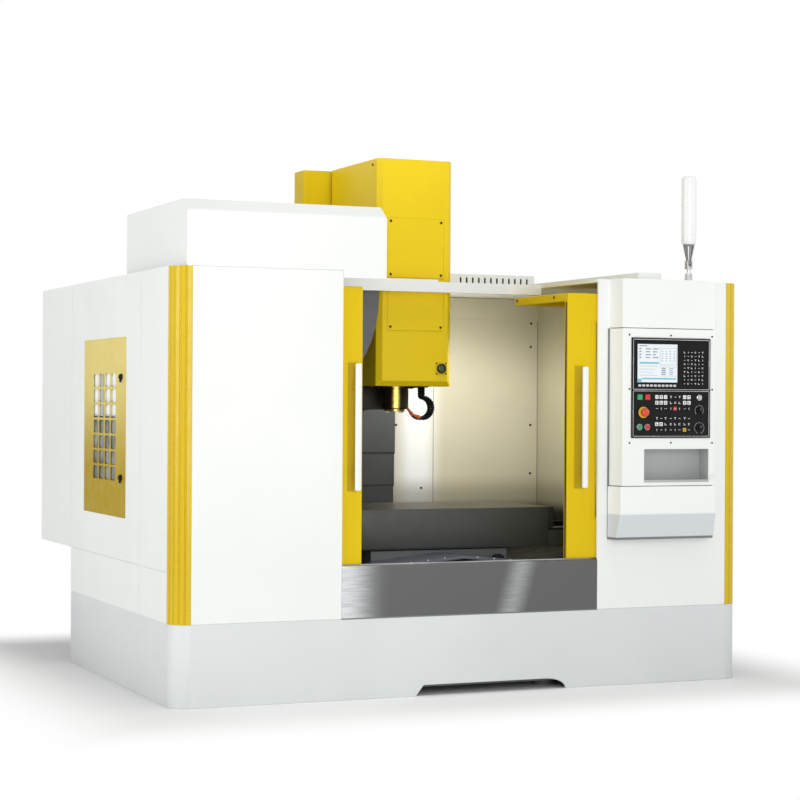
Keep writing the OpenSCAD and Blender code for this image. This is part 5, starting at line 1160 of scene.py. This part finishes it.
key_side = 0.021
group_x = [0.151, 0.179, 0.207, 0.241, 0.269, 0.297, 0.331, 0.359]
row_z = [0.218, 0.186, 0.153, 0.098, 0.066, 0.034]
for row, z in enumerate(row_z):
    for column, x in enumerate(group_x):
        colour = cap_colour(row, column)
        key(colour, x, z, key_side, key_side)
        sign = ink if colour in ("white", "amber") else marks
        mark(sign, x, z, key_side, key_side, row * 5 + column * 3)
letter_rows, letter_columns, letter_size = 9, 6, (0.018, 0.016)
for row in range(letter_rows):
    for column in range(letter_columns):
        x, z = 0.330 + 0.0235 * column, 0.296 + 0.022 * row
        key("black", x, z, *letter_size)
        mark(marks, x, z, *letter_size, row * 7 + column * 5)
screen_key_count = 10
for column in range(screen_key_count):
    key("grey", 0.042 + 0.025 * column, 0.286, 0.018, 0.012)
print("keys:", len(row_z) * len(group_x) + letter_rows * letter_columns + screen_key_count)

# %% Key pieces
piece("white_keys", caps["white"], white_plastic, "machine", ["panel_keys"])
piece("black_keys", caps["black"], black_plastic, "machine")
piece("red_key", caps["red"], red_plastic, "machine")
piece("amber_key", caps["amber"], amber_plastic, "machine")
piece("screen_keys", caps["grey"], key_grey, "machine")
piece("pale_marks", marks, mark_white, "machine")
piece("dark_marks", ink, black_plastic, "machine")

# %% [markdown]
# ## The console: buttons and dials
# The emergency stop is a red mushroom on a yellow ring, both turned. The round push buttons and the key
# switch get a bright collar. The dials are knurled: a turned knob with a row of narrow blocks set round it,
# and a scale of ticks on the plate behind.

# %% Emergency stop
def panel_spot(name):
    """The middle of a control, on the face of the panel's plate."""
    low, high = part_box(name)
    return Vector(((low.x + high.x) / 2, plate_face, (low.z + high.z) / 2))


stop = panel_spot("emergency_stop")
bm = bmesh.new()
lathe(bm, [(0.0, -0.006), (0.0088, -0.006), (0.0088, 0.014), (0.0215, 0.0185), (0.0238, 0.021),
           (0.0238, 0.026), (0.021, 0.0305), (0.013, 0.0332), (0.0, 0.0338)], stop, to_front, 40)
piece("stop_mushroom", bm, stop_red, "emergency_stop", ["emergency_stop"])
bm = bmesh.new()
lathe(bm, [(0.0165, 0.0003), (0.0315, 0.0003), (0.0315, 0.003), (0.029, 0.0055), (0.0175, 0.0065),
           (0.0165, 0.005)], stop, to_front, 40)
piece("stop_ring", bm, amber_plastic, "machine")

# %% Button collars
bm = bmesh.new()
for name in ("power_on_button", "power_off_button"):
    lathe(bm, [(0.0146, 0.0002), (0.0185, 0.0002), (0.0185, 0.0025), (0.0172, 0.0042), (0.0148, 0.0045)],
          panel_spot(name), to_front, 32)
piece("button_collars", bm, bright_steel, "machine")

# %% Dials and scales
knob_profile = [(0.0, -0.006), (0.0085, -0.006), (0.0085, 0.0008), (0.0168, 0.0008), (0.0168, 0.003),
                (0.0145, 0.005), (0.0135, 0.0185), (0.0125, 0.0198), (0.0, 0.0198)]
ridges, ticks, arc_parts = 24, 19, 36


def set_round(bm, hub, angle, low, high, *soft):
    """A block that stands straight above a hub, turned about it by an angle."""
    part = bmesh.new()
    block(part, low, high, *soft)
    collect(bm, part, Matrix.Translation(hub) @ Matrix.Rotation(angle, 4, "Y"))


scale = bmesh.new()
for name, reach, half_turn in (("feed_dial", 0.027, 130), ("speed_dial", 0.031, 150)):
    hub = panel_spot(name)
    knob = bmesh.new()
    lathe(knob, knob_profile, hub, to_front, 36)
    for i in range(ridges):
        angle = 2 * pi * i / ridges
        set_round(knob, hub, angle, (-0.0008, -0.0185, 0.0128), (0.0008, -0.005, 0.0146), 0.0003, 1)
    piece(name + "_knob", knob, black_plastic, name, [name])
    pointer = bmesh.new()
    block(pointer, hub + Vector((-0.001, -0.0203, 0.003)), hub + Vector((0.001, -0.0195, 0.012)), 0.0003, 1)
    piece(name + "_pointer", pointer, mark_white, name)
    for i in range(ticks):
        length = 0.005 if i % 3 == 0 else 0.003
        angle = radians(half_turn * (2 * i / (ticks - 1) - 1))
        set_round(scale, hub, angle, (-0.0005, -0.0006, reach), (0.0005, 0.0003, reach + length))
    for i in range(arc_parts):
        angle = radians(half_turn * (2 * i / (arc_parts - 1) - 1))
        set_round(scale, hub, angle, (-0.0027, -0.0006, reach - 0.0012), (0.0027, 0.0003, reach - 0.0004))
piece("dial_scales", scale, mark_white, "machine")

# %% Key switch collar
bm = bmesh.new()
lathe(bm, [(0.0128, 0.0002), (0.0165, 0.0002), (0.0165, 0.002), (0.0135, 0.0035), (0.0128, 0.003)],
      panel_spot("key_switch"), to_front, 32)
piece("key_switch_collar", bm, bright_steel, "machine")

# %% [markdown]
# ## The signal tower
# A milky tube stands on a folded steel bracket that narrows downwards to the stem. The tube is turned, with
# a fine groove near either end. The bracket is three strips, so that light and dark edges alternate as on
# folded sheet. Below it, a turned sleeve with four screws holds the stem on the roof.

# %% Tower tube
lamp_low, lamp_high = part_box("tower_lamp")
tower = Vector(((lamp_low.x + lamp_high.x) / 2, (lamp_low.y + lamp_high.y) / 2, 0.0))
tube_r, groove_r, tube_h = 0.043, 0.0418, 0.392
bm = bmesh.new()
lathe(bm, [(0.0, 0.0), (0.036, 0.0), (0.0405, 0.003), (tube_r, 0.009),
           (tube_r, 0.05), (groove_r, 0.051), (groove_r, 0.053), (tube_r, 0.054),
           (tube_r, 0.352), (groove_r, 0.353), (groove_r, 0.355), (tube_r, 0.356),
           (0.0428, 0.372), (0.039, 0.384), (0.030, 0.390), (0.0, tube_h)],
      tower + Vector((0, 0, lamp_high.z - tube_h)), upright, 40)
piece("lamp_tube", bm, milky_plastic, "tower_lamp", ["tower_lamp"])

# %% Tower bracket and sleeve
fold_pin = tower + Vector((0, 0, lamp_high.z - 0.5))
strip_reach, bracket_h = 0.027, 0.108
bm = bmesh.new()
lathe(bm, [(0.0, -0.014), (0.009, -0.012), (0.0135, 0.0), (0.0095, 0.016), (0.0, 0.016)],
      fold_pin, upright, 20)
for x0, x1, y0, y1 in ((-1.0, -0.62, -0.8, 0.8), (0.62, 1.0, -0.8, 0.8), (-0.25, 0.25, -0.95, -0.6)):
    part = bmesh.new()
    block(part, (x0 * strip_reach, y0 * strip_reach, 0.004),
          (x1 * strip_reach, y1 * strip_reach, bracket_h), 0.001)
    low_end = [v for v in part.verts if v.co.z < bracket_h / 2]
    bmesh.ops.scale(part, vec=(0.38, 0.38, 1), verts=low_end)
    collect(bm, part, Matrix.Translation(fold_pin))
lathe(bm, [(0.0, 0.1), (0.027, 0.1), (0.031, 0.104), (0.031, bracket_h), (0.0, bracket_h)],
      fold_pin, upright, 28)
piece("lamp_bracket", bm, bracket_grey, "tower_lamp")
foot = tower + Vector((0, 0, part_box("tower_foot")[0].z))
bore, screw_ring = 0.0112, 0.0285
bm = bmesh.new()
lathe(bm, [(bore, 0.008), (0.025, 0.008), (0.025, 0.012), (0.022, 0.018), (0.021, 0.046), (0.017, 0.052),
           (bore, 0.052)], foot, upright, 28)
for i in range(4):
    a = pi / 4 + pi / 2 * i
    screw(bm, foot + Vector((screw_ring * cos(a), screw_ring * sin(a), 0.008)), upright, 0.003)
piece("tower_sleeve", bm, rail_steel, "machine")

# %% [markdown]
# ## Seams of the enclosure
# Where sheets meet, a grey sealing strip shows as a thin line: under the apron and round the console. The
# strips are narrow blocks that lie just inside the gaps. A white lip closes the front below the magazine
# cover.

# %% Sealing strips
apron_low, apron_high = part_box("front_apron")
housing_low, housing_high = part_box("console_housing")
bm = bmesh.new()
block(bm, (apron_low.x, apron_low.y - 0.0008, apron_low.z - 0.003),
      (apron_high.x, apron_low.y + 0.002, apron_low.z + 0.004), 0.0004, 1)
block(bm, (housing_low.x - 0.008, front - 0.006, housing_low.z - 0.3),
      (housing_low.x + 0.002, front - 0.0002, housing_high.z), 0.001, 1)
for z in (housing_low.z - 0.0038, housing_high.z + 0.0002):
    block(bm, (housing_low.x + 0.03, console_face + 0.012, z),
          (housing_high.x - 0.03, front - 0.001, z + 0.0036), 0.0005, 1)
piece("panel_joints", bm, seam_grey, "machine")

# %% Lip under the magazine cover
cover_low, cover_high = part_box("magazine_cover")
panel_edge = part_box("left_front_panel")[1].x
bm = bmesh.new()
block(bm, (panel_edge + 0.0005, front + 0.0005, cover_low.z - 0.039),
      (cover_high.x, front + 0.0025, cover_low.z + 0.004), 0.0008, 1)
piece("cover_lip", bm, white_paint, "machine")

# %% [markdown]
# ## The back
# The cabinet doors at the back close with two small locks each, and every louvre has a little hood that
# keeps water out. A hood is a block whose upper edge is drawn in towards the door.

# %% Cabinet locks and louvre hoods
hinge_x = 1.5402
lock_profile = [(0.0, 0.002), (0.004, 0.002), (0.005, 0.004), (0.012, 0.004), (0.014, 0.0025),
                (0.014, -0.001), (0.0, -0.001)]
for side, name in ((-1, "left_cabinet_door"), (1, "right_cabinet_door")):
    leaf_low, leaf_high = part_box(name)
    locks, hoods = bmesh.new(), bmesh.new()
    for z in (leaf_low.z + 0.35, leaf_high.z - 0.35):
        lathe(locks, lock_profile, (side * 0.045, leaf_high.y, z), to_back, 24)
    x0, x1 = sorted((side * (hinge_x - 0.28), side * (hinge_x - 0.62)))
    door_plane = Matrix.Translation((0, -leaf_high.y, 0))
    for i in range(8):
        z = leaf_low.z + 0.15 + 0.04 * i
        part = bmesh.new()
        block(part, (x0, leaf_high.y - 0.001, z + 0.013), (x1, leaf_high.y + 0.007, z + 0.026), 0.0012)
        upper_edge = [v for v in part.verts if v.co.z > z + 0.02]
        bmesh.ops.scale(part, vec=(1, 0.25, 1), verts=upper_edge, space=door_plane)
        collect(hoods, part)
    piece(name + "_locks", locks, bright_steel, name)
    piece(name + "_hoods", hoods, white_paint, name)
